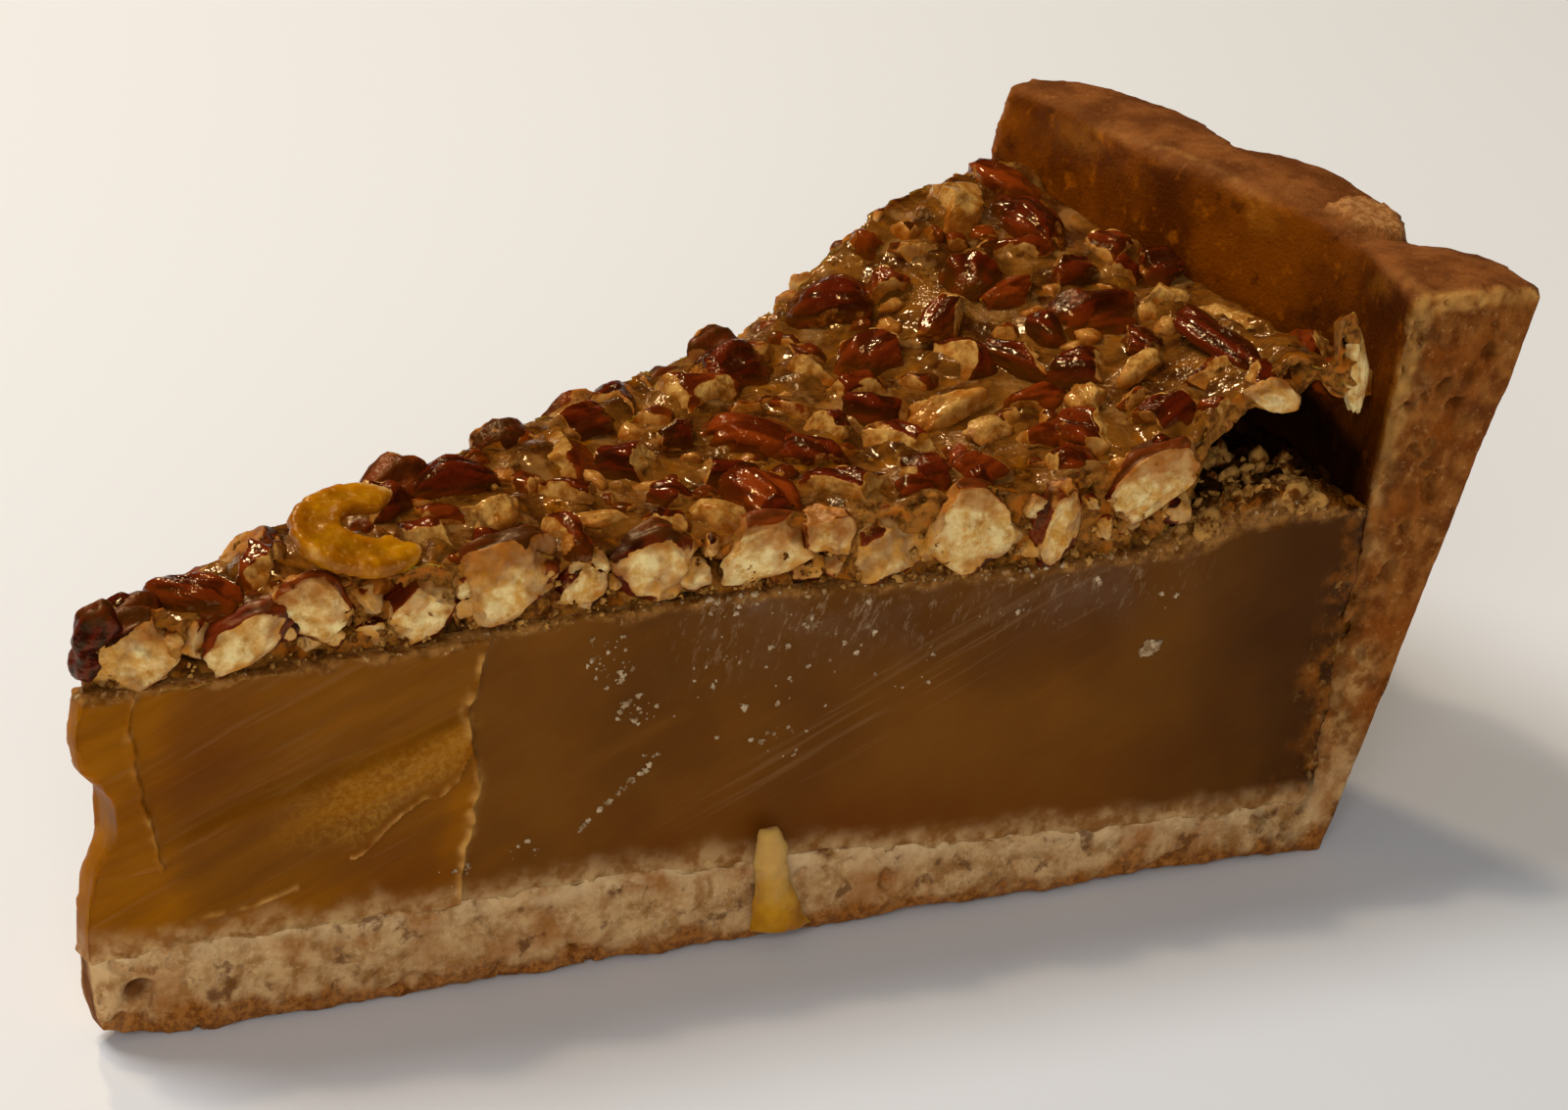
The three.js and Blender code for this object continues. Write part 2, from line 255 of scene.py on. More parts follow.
class Finish:
    """A material and short ways to add nodes to it."""

    def __init__(self, name, **sockets):
        self.material = bpy.data.materials.new(name)
        self.material.use_nodes = True
        self.nodes = self.material.node_tree.nodes
        self.links = self.material.node_tree.links
        self.shader = self.nodes["Principled BSDF"]
        self.place = self.nodes.new("ShaderNodeTexCoord").outputs["Object"]
        for socket, value in sockets.items():
            self.shader.inputs[socket.replace("_", " ")].default_value = value

    def feed(self, socket, value):
        if isinstance(value, bpy.types.NodeSocket):
            self.links.new(value, socket)
        else:
            socket.default_value = value

    def noise(self, size, detail, roughness):
        """Noise with features of about a size in millimetres."""
        return self.noise_at(self.place, size, detail, roughness)

    def noise_at(self, place, size, detail, roughness):
        node = self.nodes.new("ShaderNodeTexNoise")
        node.inputs["Scale"].default_value = 1 / (size * MM)
        node.inputs["Detail"].default_value = detail
        node.inputs["Roughness"].default_value = roughness
        self.links.new(place, node.inputs["Vector"])
        return node.outputs["Fac"]

    def drag(self, size, length, slope, detail=4.0, roughness=0.6):
        """Noise drawn out along the near cut, on a line that rises by a slope in degrees."""
        mapping = self.nodes.new("ShaderNodeMapping")
        mapping.vector_type = "TEXTURE"
        mapping.inputs["Rotation"].default_value = (0, -math.radians(slope), -HALF_ANGLE)
        mapping.inputs["Scale"].default_value = (length / size, 1, 1)
        self.links.new(self.place, mapping.inputs["Vector"])
        return self.noise_at(mapping.outputs["Vector"], size, detail, roughness)

    def share(self, value, low, high, start=0.0, end=1.0):
        """Spreads a range of one value over another, smoothly, and holds the ends."""
        node = self.nodes.new("ShaderNodeMapRange")
        node.interpolation_type = "SMOOTHSTEP"
        self.feed(node.inputs["Value"], value)
        for socket, number in zip(("From Min", "From Max", "To Min", "To Max"), (low, high, start, end)):
            node.inputs[socket].default_value = number
        return node.outputs["Result"]

    def reckon(self, operation, first, second):
        node = self.nodes.new("ShaderNodeMath")
        node.operation = operation
        self.feed(node.inputs[0], first)
        self.feed(node.inputs[1], second)
        return node.outputs[0]

    def plus(self, first, second):
        return self.reckon("ADD", first, second)

    def times(self, first, second):
        return self.reckon("MULTIPLY", first, second)

    def larger(self, first, second):
        return self.reckon("MAXIMUM", first, second)

    def mix(self, factor, first, second, blend="MIX"):
        node = self.nodes.new("ShaderNodeMix")
        node.data_type = "RGBA"
        node.blend_type = blend
        self.feed(node.inputs[0], factor)
        self.feed(node.inputs[6], first)
        self.feed(node.inputs[7], second)
        return node.outputs[2]

    def blend(self, value, low, high, first, second, most=1.0):
        """Goes from one colour to another as a value climbs from low to high, at most by a share."""
        return self.mix(self.share(value, low, high, 0, most), first, second)

    def kept(self, name):
        """The numbers that paint() kept on the piece."""
        node = self.nodes.new("ShaderNodeAttribute")
        node.attribute_name = name
        return node.outputs["Fac"]

    def colour(self, value):
        self.feed(self.shader.inputs["Base Color"], value)

    def roughness(self, value):
        self.feed(self.shader.inputs["Roughness"], value)

    def sugar(self):
        """The glaze's fine skin: soft waves all over, and patches of small sugary bumps that glitter."""
        patches = self.share(self.noise(8, 2, 0.5), 0.46, 0.62, 0.12, 1)
        bumps = self.times(self.noise(0.5, 2, 0.5), patches)
        waves = self.noise(1.5, 3, 0.5)
        return self.plus(self.times(waves, 0.9), self.times(bumps, 1.3))

    def relief(self, height, depth, strength, coat=False):
        """Bump of a depth in millimetres, on the surface and, if asked, on its wet coat."""
        node = self.nodes.new("ShaderNodeBump")
        node.inputs["Strength"].default_value = strength
        node.inputs["Distance"].default_value = depth * MM
        self.feed(node.inputs["Height"], height)
        self.links.new(node.outputs["Normal"], self.shader.inputs["Normal"])
        if coat:
            self.links.new(node.outputs["Normal"], self.shader.inputs["Coat Normal"])


def srgb(red, green, blue):
    """A colour as seen on a screen, 0 to 255, in linear light."""
    def linear(level):
        share = level / 255
        return share / 12.92 if share <= 0.04045 else ((share + 0.055) / 1.055) ** 2.4
    return linear(red), linear(green), linear(blue), 1


# ---- Finishes ----

# The tint of every gloss here.
GOLDEN = (1, 0.7, 0.34, 1)


def pastry():
    f = Finish(
        "shortcrust", Roughness=0.75, Subsurface_Weight=0.1, Subsurface_Scale=0.001,
        Subsurface_Radius=(1, 0.45, 0.2), Specular_IOR_Level=0.12, Specular_Tint=GOLDEN,
    )
    grain = f.noise(1.7, 5, 0.6)
    fine = f.noise(0.6, 4, 0.65)
    blotch = f.noise(5.5, 3, 0.55)
    crumb = f.blend(grain, 0.34, 0.64, srgb(168, 118, 64), srgb(218, 174, 118))
    crumb = f.blend(fine, 0.5, 0.68, crumb, srgb(232, 194, 142), 0.55)
    crumb = f.blend(blotch, 0.46, 0.68, crumb, srgb(166, 98, 36), 0.65)
    pale = f.times(f.kept("band"), f.share(f.noise(3.2, 4, 0.6), 0.36, 0.6))
    crumb = f.mix(f.times(pale, 0.7), crumb, srgb(236, 200, 148))
    crumb = f.blend(f.noise(2.4, 4, 0.65), 0.56, 0.67, crumb, srgb(98, 50, 14), 0.75)
    wall_crumb = f.blend(grain, 0.34, 0.66, srgb(112, 56, 14), srgb(160, 98, 40))
    wall_crumb = f.blend(blotch, 0.44, 0.64, wall_crumb, srgb(140, 68, 10), 0.65)
    wall_crumb = f.blend(fine, 0.56, 0.7, wall_crumb, srgb(200, 144, 84), 0.45)
    wall_pale = f.blend(f.noise(1.3, 5, 0.65), 0.38, 0.62, srgb(138, 82, 30), srgb(200, 150, 88))
    wall_crumb = f.mix(f.kept("streak"), wall_crumb, wall_pale)
    crumb = f.mix(f.kept("wall"), crumb, wall_crumb)
    browned = f.blend(fine, 0.4, 0.6, srgb(120, 62, 18), srgb(172, 104, 36))
    crumb = f.mix(f.kept("underside"), crumb, browned)
    # pale crumbs at the rim's broken corner, and a painted highlight down the inner edge of the near cut
    crumb = f.mix(f.kept("rim_crumb"), crumb, srgb(206, 148, 74))
    # painted shade: near-black inside the small hole in the floor's cut
    crumb = f.mix(f.kept("pit"), crumb, srgb(44, 14, 3))
    baked = f.blend(blotch, 0.36, 0.66, srgb(104, 54, 18), srgb(142, 82, 34))
    baked = f.blend(grain, 0.46, 0.68, baked, srgb(94, 42, 8), 0.45)
    baked = f.blend(fine, 0.56, 0.7, baked, srgb(176, 116, 66), 0.3)
    # the same pale crumbs and painted highlight on the baked skin, and below on the oily inner wall
    baked = f.mix(f.kept("rim_crumb"), baked, srgb(170, 112, 54))
    flaky = f.blend(fine, 0.4, 0.6, srgb(150, 92, 42), srgb(186, 128, 72))
    baked = f.mix(f.kept("flake"), baked, flaky)
    oily = f.blend(f.noise(9, 4, 0.6), 0.36, 0.66, srgb(84, 34, 0), srgb(126, 60, 0))
    oily = f.blend(f.noise(1.8, 3, 0.6), 0.56, 0.72, oily, srgb(176, 92, 4), 0.5)
    oily = f.blend(f.noise(2.6, 3, 0.6), 0.58, 0.7, oily, srgb(54, 18, 0), 0.55)
    oily = f.mix(f.kept("rim_crumb"), oily, srgb(176, 104, 26))
    surface = f.mix(f.kept("inner"), baked, oily)
    surface = f.mix(f.kept("cut"), surface, crumb)
    # painted shade: near-black in the hollow under the glaze, and the inner wall darker towards the near
    # cut
    f.colour(f.mix(f.kept("dark"), surface, srgb(16, 7, 3)))
    f.roughness(f.share(f.kept("inner"), 0, 1, 0.72, 0.45))
    f.relief(f.plus(grain, f.noise(0.35, 3, 0.6)), 0.3, 0.55)
    return f.material


def custard():
    f = Finish(
        "set_filling", Roughness=0.42, Subsurface_Weight=0.3, Subsurface_Scale=0.0025,
        Subsurface_Radius=(1, 0.4, 0.1), Specular_IOR_Level=0.14, Specular_Tint=GOLDEN,
    )
    streak = f.drag(2.6, 17, 24)
    cloud = f.noise(15, 3, 0.5)
    amber = f.blend(streak, 0.28, 0.72, srgb(132, 74, 0), srgb(164, 98, 2))
    brown = f.blend(cloud, 0.35, 0.65, srgb(104, 58, 12), srgb(122, 72, 16))
    brown = f.blend(streak, 0.55, 0.75, brown, srgb(136, 86, 30), 0.3)
    base = f.mix(f.kept("amber"), brown, amber)
    base = f.mix(f.kept("ruddy"), base, srgb(104, 46, 4))
    # painted shade: darker towards the wall and under the nuts
    base = f.mix(f.kept("deep"), base, srgb(60, 27, 3))
    scuffs = f.share(f.drag(0.5, 1.3, 70, 4, 0.7), 0.54, 0.66)
    scrapes = f.share(f.drag(0.7, 22, 25, 3, 0.6), 0.56, 0.68)
    painted_sheen = f.share(f.noise(6, 4, 0.6), 0.4, 0.7)
    # real scuffs and scrapes, and a painted sheen: a greyish veil over the top of the near cut
    for where, marks, most, colour in (
        ("scuffed", scuffs, 0.38, srgb(196, 164, 124)),
        ("scraped", scrapes, 0.15, srgb(176, 138, 92)),
        ("scuffed", painted_sheen, 0.18, srgb(160, 138, 118)),
    ):
        base = f.mix(f.times(f.times(f.kept(where), marks), most), base, colour)
    sandy = f.share(f.noise(0.5, 4, 0.7), 0.36, 0.68)
    base = f.mix(f.times(f.kept("sandy"), sandy), base, srgb(196, 142, 52))
    # painted highlights on the torn edges of the smear's sheets
    base = f.mix(f.kept("lip"), base, srgb(206, 150, 74))
    crumbly = f.blend(f.noise(1.1, 5, 0.7), 0.36, 0.64, srgb(104, 60, 18), srgb(166, 114, 54))
    crumbly = f.blend(f.noise(0.7, 3, 0.6), 0.6, 0.68, crumbly, srgb(206, 172, 120), 0.7)
    base = f.mix(f.kept("crumbs"), base, crumbly)
    rubble = f.blend(f.noise(2.2, 5, 0.65), 0.4, 0.62, srgb(52, 22, 2), srgb(146, 82, 18))
    rubble = f.blend(f.noise(0.9, 3, 0.6), 0.58, 0.7, rubble, srgb(190, 140, 76), 0.5)
    base = f.mix(f.kept("rubble"), base, rubble)
    pastry_dust = f.blend(f.noise(1.7, 5, 0.6), 0.36, 0.64, srgb(152, 100, 48), srgb(212, 168, 112))
    base = f.mix(f.kept("foot"), base, pastry_dust)
    f.colour(f.mix(f.kept("dark"), base, srgb(14, 6, 3)))
    f.roughness(f.share(streak, 0.3, 0.7, 0.36, 0.52))
    f.relief(f.plus(f.drag(0.6, 7, 24), f.noise(1.2, 3, 0.5)), 0.1, 0.45)
    return f.material


def glaze():
    f = Finish(
        "nut_glaze", Subsurface_Weight=0.35, Subsurface_Scale=0.002, Subsurface_Radius=(1, 0.5, 0.15),
        Specular_IOR_Level=0.55, Specular_Tint=GOLDEN,
    )
    cloud = f.noise(3.4, 4, 0.6)
    flow = f.blend(cloud, 0.34, 0.66, srgb(66, 30, 5), srgb(128, 76, 20))
    flow = f.blend(f.noise(2.4, 3, 0.5), 0.54, 0.7, flow, srgb(148, 82, 3), 0.7)
    flow = f.blend(f.noise(1.6, 4, 0.6), 0.58, 0.7, flow, srgb(58, 20, 2), 0.75)
    flow = f.blend(f.noise(0.9, 4, 0.6), 0.6, 0.72, flow, srgb(178, 124, 46), 0.5)
    flow = f.blend(f.noise(4.2, 4, 0.6), 0.54, 0.64, flow, srgb(168, 118, 58), 0.45)
    grain = f.noise(0.9, 5, 0.7)
    matrix = f.blend(grain, 0.36, 0.62, srgb(92, 46, 6), srgb(170, 108, 36))
    matrix = f.blend(f.noise(1.8, 3, 0.6), 0.5, 0.66, matrix, srgb(176, 92, 8), 0.75)
    body = f.mix(f.kept("cut"), flow, matrix)
    # painted shade on the hollow's roof and in the voids at the cuts
    f.colour(f.mix(f.kept("dark"), body, srgb(20, 8, 3)))
    f.roughness(f.share(f.larger(f.kept("cut"), f.kept("dark")), 0, 1, 0.12, 0.8))
    f.relief(f.sugar(), 0.34, 0.6)
    return f.material


def pecan(name, roughness, pale_flesh, warm_flesh):
    f = Finish(
        name, Roughness=roughness, Subsurface_Weight=0.16, Subsurface_Scale=0.001,
        Subsurface_Radius=(1, 0.5, 0.2), Specular_IOR_Level=0.5, Specular_Tint=GOLDEN,
    )
    grain = f.kept("grain")
    fibre = f.noise(1.3, 5, 0.65)
    dark = f.blend(grain, 0.3, 0.7, srgb(42, 6, 2), srgb(92, 20, 5))
    warm = f.blend(grain, 0.3, 0.7, srgb(84, 22, 3), srgb(136, 52, 10))
    skin = f.blend(f.kept("tone"), 0.25, 1.0, dark, warm)
    skin = f.blend(fibre, 0.58, 0.74, skin, srgb(164, 78, 18), 0.35)
    flesh = f.blend(fibre, 0.34, 0.66, warm_flesh, pale_flesh)
    stain = f.blend(f.noise(2, 3, 0.5), 0.4, 0.6, srgb(144, 76, 8), srgb(204, 132, 34))
    flesh = f.blend(f.noise(2.8, 3, 0.5), 0.54, 0.68, flesh, srgb(190, 112, 28), 0.6)
    flesh = f.blend(f.noise(0.9, 3, 0.6), 0.64, 0.74, flesh, srgb(122, 60, 14), 0.6)
    ragged = f.plus(f.kept("flesh"), f.times(f.plus(fibre, -0.5), 0.9))
    browned_edge = f.share(ragged, 0.5, 0.78, 0.62, 0)
    flesh = f.mix(browned_edge, flesh, srgb(148, 78, 14))
    soaked_edge = f.share(f.kept("core"), 0, 0.8, 0.7, 0)
    flesh = f.mix(soaked_edge, flesh, stain)
    body = f.blend(ragged, 0.42, 0.56, skin, flesh)
    film = f.mix(1.0, body, srgb(220, 156, 56), "MULTIPLY")
    f.colour(f.mix(f.kept("sunk"), body, f.mix(0.4, film, srgb(118, 64, 6))))
    f.relief(f.sugar(), 0.3, 0.6)
    return f.material


def amber_glaze(name, deep, light):
    f = Finish(
        name, Roughness=0.28, Subsurface_Weight=0.6, Subsurface_Scale=0.003,
        Subsurface_Radius=(1, 0.5, 0.05), Coat_Weight=0.06, Coat_Roughness=0.2, Specular_IOR_Level=0.35,
        Specular_Tint=GOLDEN,
    )
    body = f.blend(f.noise(3.4, 3, 0.5), 0.35, 0.65, deep, light)
    body = f.blend(f.noise(0.5, 3, 0.6), 0.58, 0.7, body, srgb(222, 176, 84), 0.3)
    # the curl's pale sugary rim, and painted light on the drop's paler top
    f.colour(f.mix(f.kept("sugar"), body, srgb(214, 168, 92)))
    f.relief(f.noise(0.6, 4, 0.6), 0.2, 0.5, coat=True)
    return f.material


def crumb_finish(name, dark, pale):
    f = Finish(name, Roughness=0.8, Specular_IOR_Level=0.15, Specular_Tint=GOLDEN)
    f.colour(f.blend(f.noise(1.1, 4, 0.6), 0.38, 0.62, dark, pale))
    f.relief(f.noise(0.3, 3, 0.6), 0.15, 0.6)
    return f.material


# ---- Crust ----

# The small hole in the floor's near cut: radius and height.
FLOOR_HOLE = (5.6, 4.5)
HOLE_DEPTH = 2.2
# A flake lifted from the rim: radius and share across.
RIM_FLAKE = (117.8, -0.36)
FLAKE_LIFT = 0.7
# How far the crumb at a cut rises in lumps and grains, and falls in pits.
CRUMB_LUMPS = 0.3
CRUMB_GRAINS = 0.14
CRUMB_PITS = 0.8
# How far the baked skin rises in waves and grains.
SKIN_WAVES = 0.2
SKIN_GRAINS = 0.07


def at_cut(point, reach):
    """Whether a point lies within a reach of a cut."""
    return past_cuts(point) > -reach


def make_crust():
    crust = softened_copy("crust", "crust_baked", voxel=0.68, passes=6)
    refine(crust, lambda v: at_cut(v.co, 0.8))

    # The hole is dug into the crumb, and its share also paints shade into it.
    def hole(co, normal):
        radius, across, height = pie_terms(co)
        near = math.hypot(radius - FLOOR_HOLE[0], 1.3 * (height - FLOOR_HOLE[1]))
        return smoothstep(-across, 0, 0.6) * bump(near + 0.4 * wobble(co / MM, 1.5), 0.95)

    def flake(co, normal):
        radius, across, height = pie_terms(co)
        along = (across - RIM_FLAKE[1]) * HALF_ANGLE * radius
        reach = math.hypot((radius - RIM_FLAKE[0]) / 3.3, along / 3) + 0.25 * wobble(co / MM, 1.6, 3)
        return smoothstep(1.15 - reach, 0, 0.25) * smoothstep(height, 47, 49)

    def crumbly(co, normal):
        """Crumb at the cuts, held square at its edges, and a gently uneven baked skin elsewhere."""
        point = co / MM
        side = nearer_cut(co)
        cut = smoothstep(outside(co, side), -1.1, -0.2) * clamp(normal.dot(CUT_NORMALS[side]) * 2)
        if cut > 0:
            inside = smoothstep(outer_wall(point.z) - pie_terms(co)[0], 1, 4)
            lumps = CRUMB_LUMPS * wobble(point, 4.5, 3) + CRUMB_GRAINS * wobble(point, 1.3, 3, 4)
            pits = CRUMB_PITS * smoothstep(wobble(point, 2.2, 3, 9), 0.42, 0.66)
            squared = CUT_NORMALS[side] * cut * clamp(-outside(co, side), 0, 0.8) * 0.7
            rough = inside * (lumps - pits) - HOLE_DEPTH * hole(co, normal)
            return normal * cut * rough + squared + corner(co)
        underside = clamp(-normal.z)
        skin = SKIN_WAVES * wobble(point, 7, 4) + SKIN_GRAINS * wobble(point, 1.6, 3, 2)
        lifted = FLAKE_LIFT * smoothstep(flake(co, normal), 0.2, 0.7)
        skin *= smoothstep(-outside(co, side), 0.2, 3)
        return normal * (skin * (1 - 0.8 * underside) + lifted) + corner(co)

    def corner(co):
        """Holds the wall's outer corner to a straight line."""
        radius, across, height = pie_terms(co)
        short = outer_wall(height) - radius
        at_corner = smoothstep(past_cuts(co), -2.6, -1) * smoothstep(1 - abs(short), 0, 0.6)
        return outward(across) * short * at_corner * smoothstep(height, 1, 3)

    def cut(co, normal):
        side = nearer_cut(co)
        facing = smoothstep(normal.dot(CUT_NORMALS[side]), 0.3, 0.62)
        return facing * smoothstep(outside(co, side), -1.8, -0.9)

    def inner(co, normal):
        radius, across, height = pie_terms(co)
        facing = smoothstep(-normal.x, 0.2, 0.5)
        return facing * smoothstep(radius, 90, 100) * smoothstep(50.2 - height, 0, 1.2)

    def band(co, normal):
        radius, across, height = pie_terms(co)
        ragged = 0.7 * wobble(co / MM, 4, 3)
        return smoothstep(height + ragged, floor_top(radius) - 3, floor_top(radius) - 0.6) * (radius < 103)

    def rim_crumb(co, normal):
        """The pale crumbs along the rim's broken corner, a painted highlight down the inner edge of the
        near cut, and a paler line along the rim's inner brow.
        """
        radius, across, height = pie_terms(co)
        ragged = 0.5 * wobble(co / MM, 2.4, 3)
        at_face = smoothstep(outside(co, -1), -1, -0.3)
        top_line = at_face * smoothstep(height + ragged, 48.7, 49.5)
        inner_line = at_face * smoothstep(inner_wall(height) + 0.2 + ragged - radius, -0.5, 0.3)
        inner_line *= smoothstep(height, 30, 42)
        brow = 0.6 * bump(radius - RIM_INNER - 0.2 + ragged, 0.5) * smoothstep(height, 46, 48.5)
        return max(top_line, inner_line, brow) * clamp(0.75 + wobble(co / MM, 1.2, 3))

    def dark(co, normal):
        """Painted shade: the hollow under the glaze, where it meets the wall, and the inner wall, darker
        towards the near cut.
        """
        radius, across, height = pie_terms(co)
        below = smoothstep(glaze_top(radius, across) - 2.4 - height, -0.5, 1.5)
        hollow = 0.85 * below * smoothstep(-0.8 - outside(co, -1), 0, 3)
        return inner(co, normal) * max(hollow, 0.4 * smoothstep(-across, 0, 0.9))

    def streak(co, normal):
        """The paler crumb down the inner side of the wall's cut, widest at its foot."""
        radius, across, height = pie_terms(co)
        depth = radius - inner_wall(height)
        width = lerp(4.4, 1.3, smoothstep(height, 8, 40)) + 1.3 * wobble(co / MM, 4, 4)
        patchy = lerp(0.7, 0.25, smoothstep(height, 10, 26)) + 0.8 * wobble(co / MM, 3, 4, 3)
        return clamp(smoothstep(width - depth, -0.8, 1) * patchy)

    def wall(co, normal):
        return smoothstep(co.z / MM, 4, 13) * smoothstep(pie_terms(co)[0], 100, 106)

    def underside(co, normal):
        return 0.85 * smoothstep(2.3 + 1.5 * wobble(co / MM, 3.4, 4) - co.z / MM, -0.5, 0.9)

    reshape(crust, crumbly)
    # nothing of it stands past the solid's own box
    low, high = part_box("crust")
    for vertex in crust.data.vertices:
        vertex.co = Vector([clamp(*at) for at in zip(vertex.co, low, high)])
    paint(
        crust, streak=streak, underside=underside, flake=flake, cut=cut, inner=inner, wall=wall, band=band,
        rim_crumb=rim_crumb, pit=hole, dark=dark,
    )
    finish_piece(crust, pastry(), "crust")


def outer_wall(height):
    """The radius of the wall's outer face."""
    return lerp(BASE_RADIUS, RIM_RADIUS, clamp(height / RIM_HEIGHT))


def inner_wall(height):
    """The radius of the wall's inner face."""
    return lerp(WALL_INNER_FOOT, RIM_INNER, clamp((height - FLOOR_AT_WALL) / (RIM_HEIGHT - FLOOR_AT_WALL)))


# ---- Filling ----

# The knife's smear on the near cut ends at this edge: height, radius.
SMEAR_EDGE = [
    (9.5, 31.1), (12.9, 31.3), (15.4, 31.9), (18, 32.3),
    (20.5, 32.1), (22.9, 31.3), (26.5, 31.6), (31.3, 33),
]
# Its sheets and creases: radius, height.
FLAP = [(22.3, 13.5), (24.4, 15.3), (25.6, 16.6), (27.3, 17.8), (29.1, 18.3), (30.4, 19.2), (31.4, 22)]
CREASE = [(7.8, 17.4), (14, 19.6), (17.8, 20.6), (23.9, 22.2), (28.5, 24), (31, 24.9)]
LOW_RIDGE = [(7.8, 9.7), (11, 10.3), (14.8, 10.7), (17.6, 11.5)]
# The sheet that peels at the point ends here: height, radius.
PEEL_EDGE = [(14.8, 7.4), (16.9, 7.2), (19.5, 6.5), (22, 6.2), (24.1, 5.4)]
# How thick the smear and its sheets are, and how deep the crease is.
SMEAR_THICKNESS = 0.6
FLAP_THICKNESS = 0.65
PEEL_THICKNESS = 0.5
CREASE_DEPTH = 0.42
# How the cut edge of the filling meets the crust: how far it turns in under the floor's crumbs, sinks over
# them, is smeared over the wall's cut, and goes down into the wall's crumbs.
TURNED_IN = 0.8
SUNK = 1.2
SMEARED = 2.3
BURIED = 0.9


def sheet(distance, thickness, fade):
    """A thin sheet's height: it steps up at its edge, with a lip, and thins away from it."""
    step = smoothstep(distance, -0.12, 0.2)
    return thickness * step * (math.exp(-max(distance, 0) / fade) + 0.35 * bump(distance - 0.25, 0.3))


def smear_terms(radius, height):
    """Distances in millimetres inside each sheet of the smear, from its ragged edge."""
    torn = 0.32 * wobble((radius, height, 0), 2.2, 4, 4)
    return {
        "smear": follow(SMEAR_EDGE, height) + torn - radius,
        "flap": (height - follow(FLAP, radius) + torn) if 21.5 < radius < 32 else -9,
        "peel": (follow(PEEL_EDGE, height) + 2.2 * torn - radius) if height > 14.8 + torn else -9,
        "crease": height - follow(CREASE, radius),
        "ridge": height - follow(LOW_RIDGE, radius) + 0.5 * torn,
    }


def near_relief(radius, height):
    """How far the filling stands out of the near cut's plane: the smear, its sheets and creases."""
    drag = 0.09 * wobble((radius * 0.22, height - 0.44 * radius, 0), 1.3, 4)
    swell = 0.28 * wobble((radius, height, 0), 15, 2)
    base = drag * smoothstep(40 - radius, -8, 8) + swell
    if radius > 34:
        return base
    terms = smear_terms(radius, height)
    on_smear = smoothstep(terms["smear"], -0.2, 0.3)
    flap_window = smoothstep(radius, 21, 23)
    crease_window = smoothstep(radius, 6, 12) * on_smear
    return (
        base
        + sheet(terms["smear"], SMEAR_THICKNESS, 14)
        + on_smear * flap_window * sheet(terms["flap"], FLAP_THICKNESS, 4)
        + sheet(terms["peel"], PEEL_THICKNESS, 5)
        + crease_window * (
            0.22 * bump(terms["crease"] + 1.3, 1.1) - CREASE_DEPTH * bump(terms["crease"], 0.7)
        )
        + 0.3 * smoothstep(radius, 6, 8) * smoothstep(19 - radius, 0, 2) * bump(terms["ridge"], 0.28)
    )


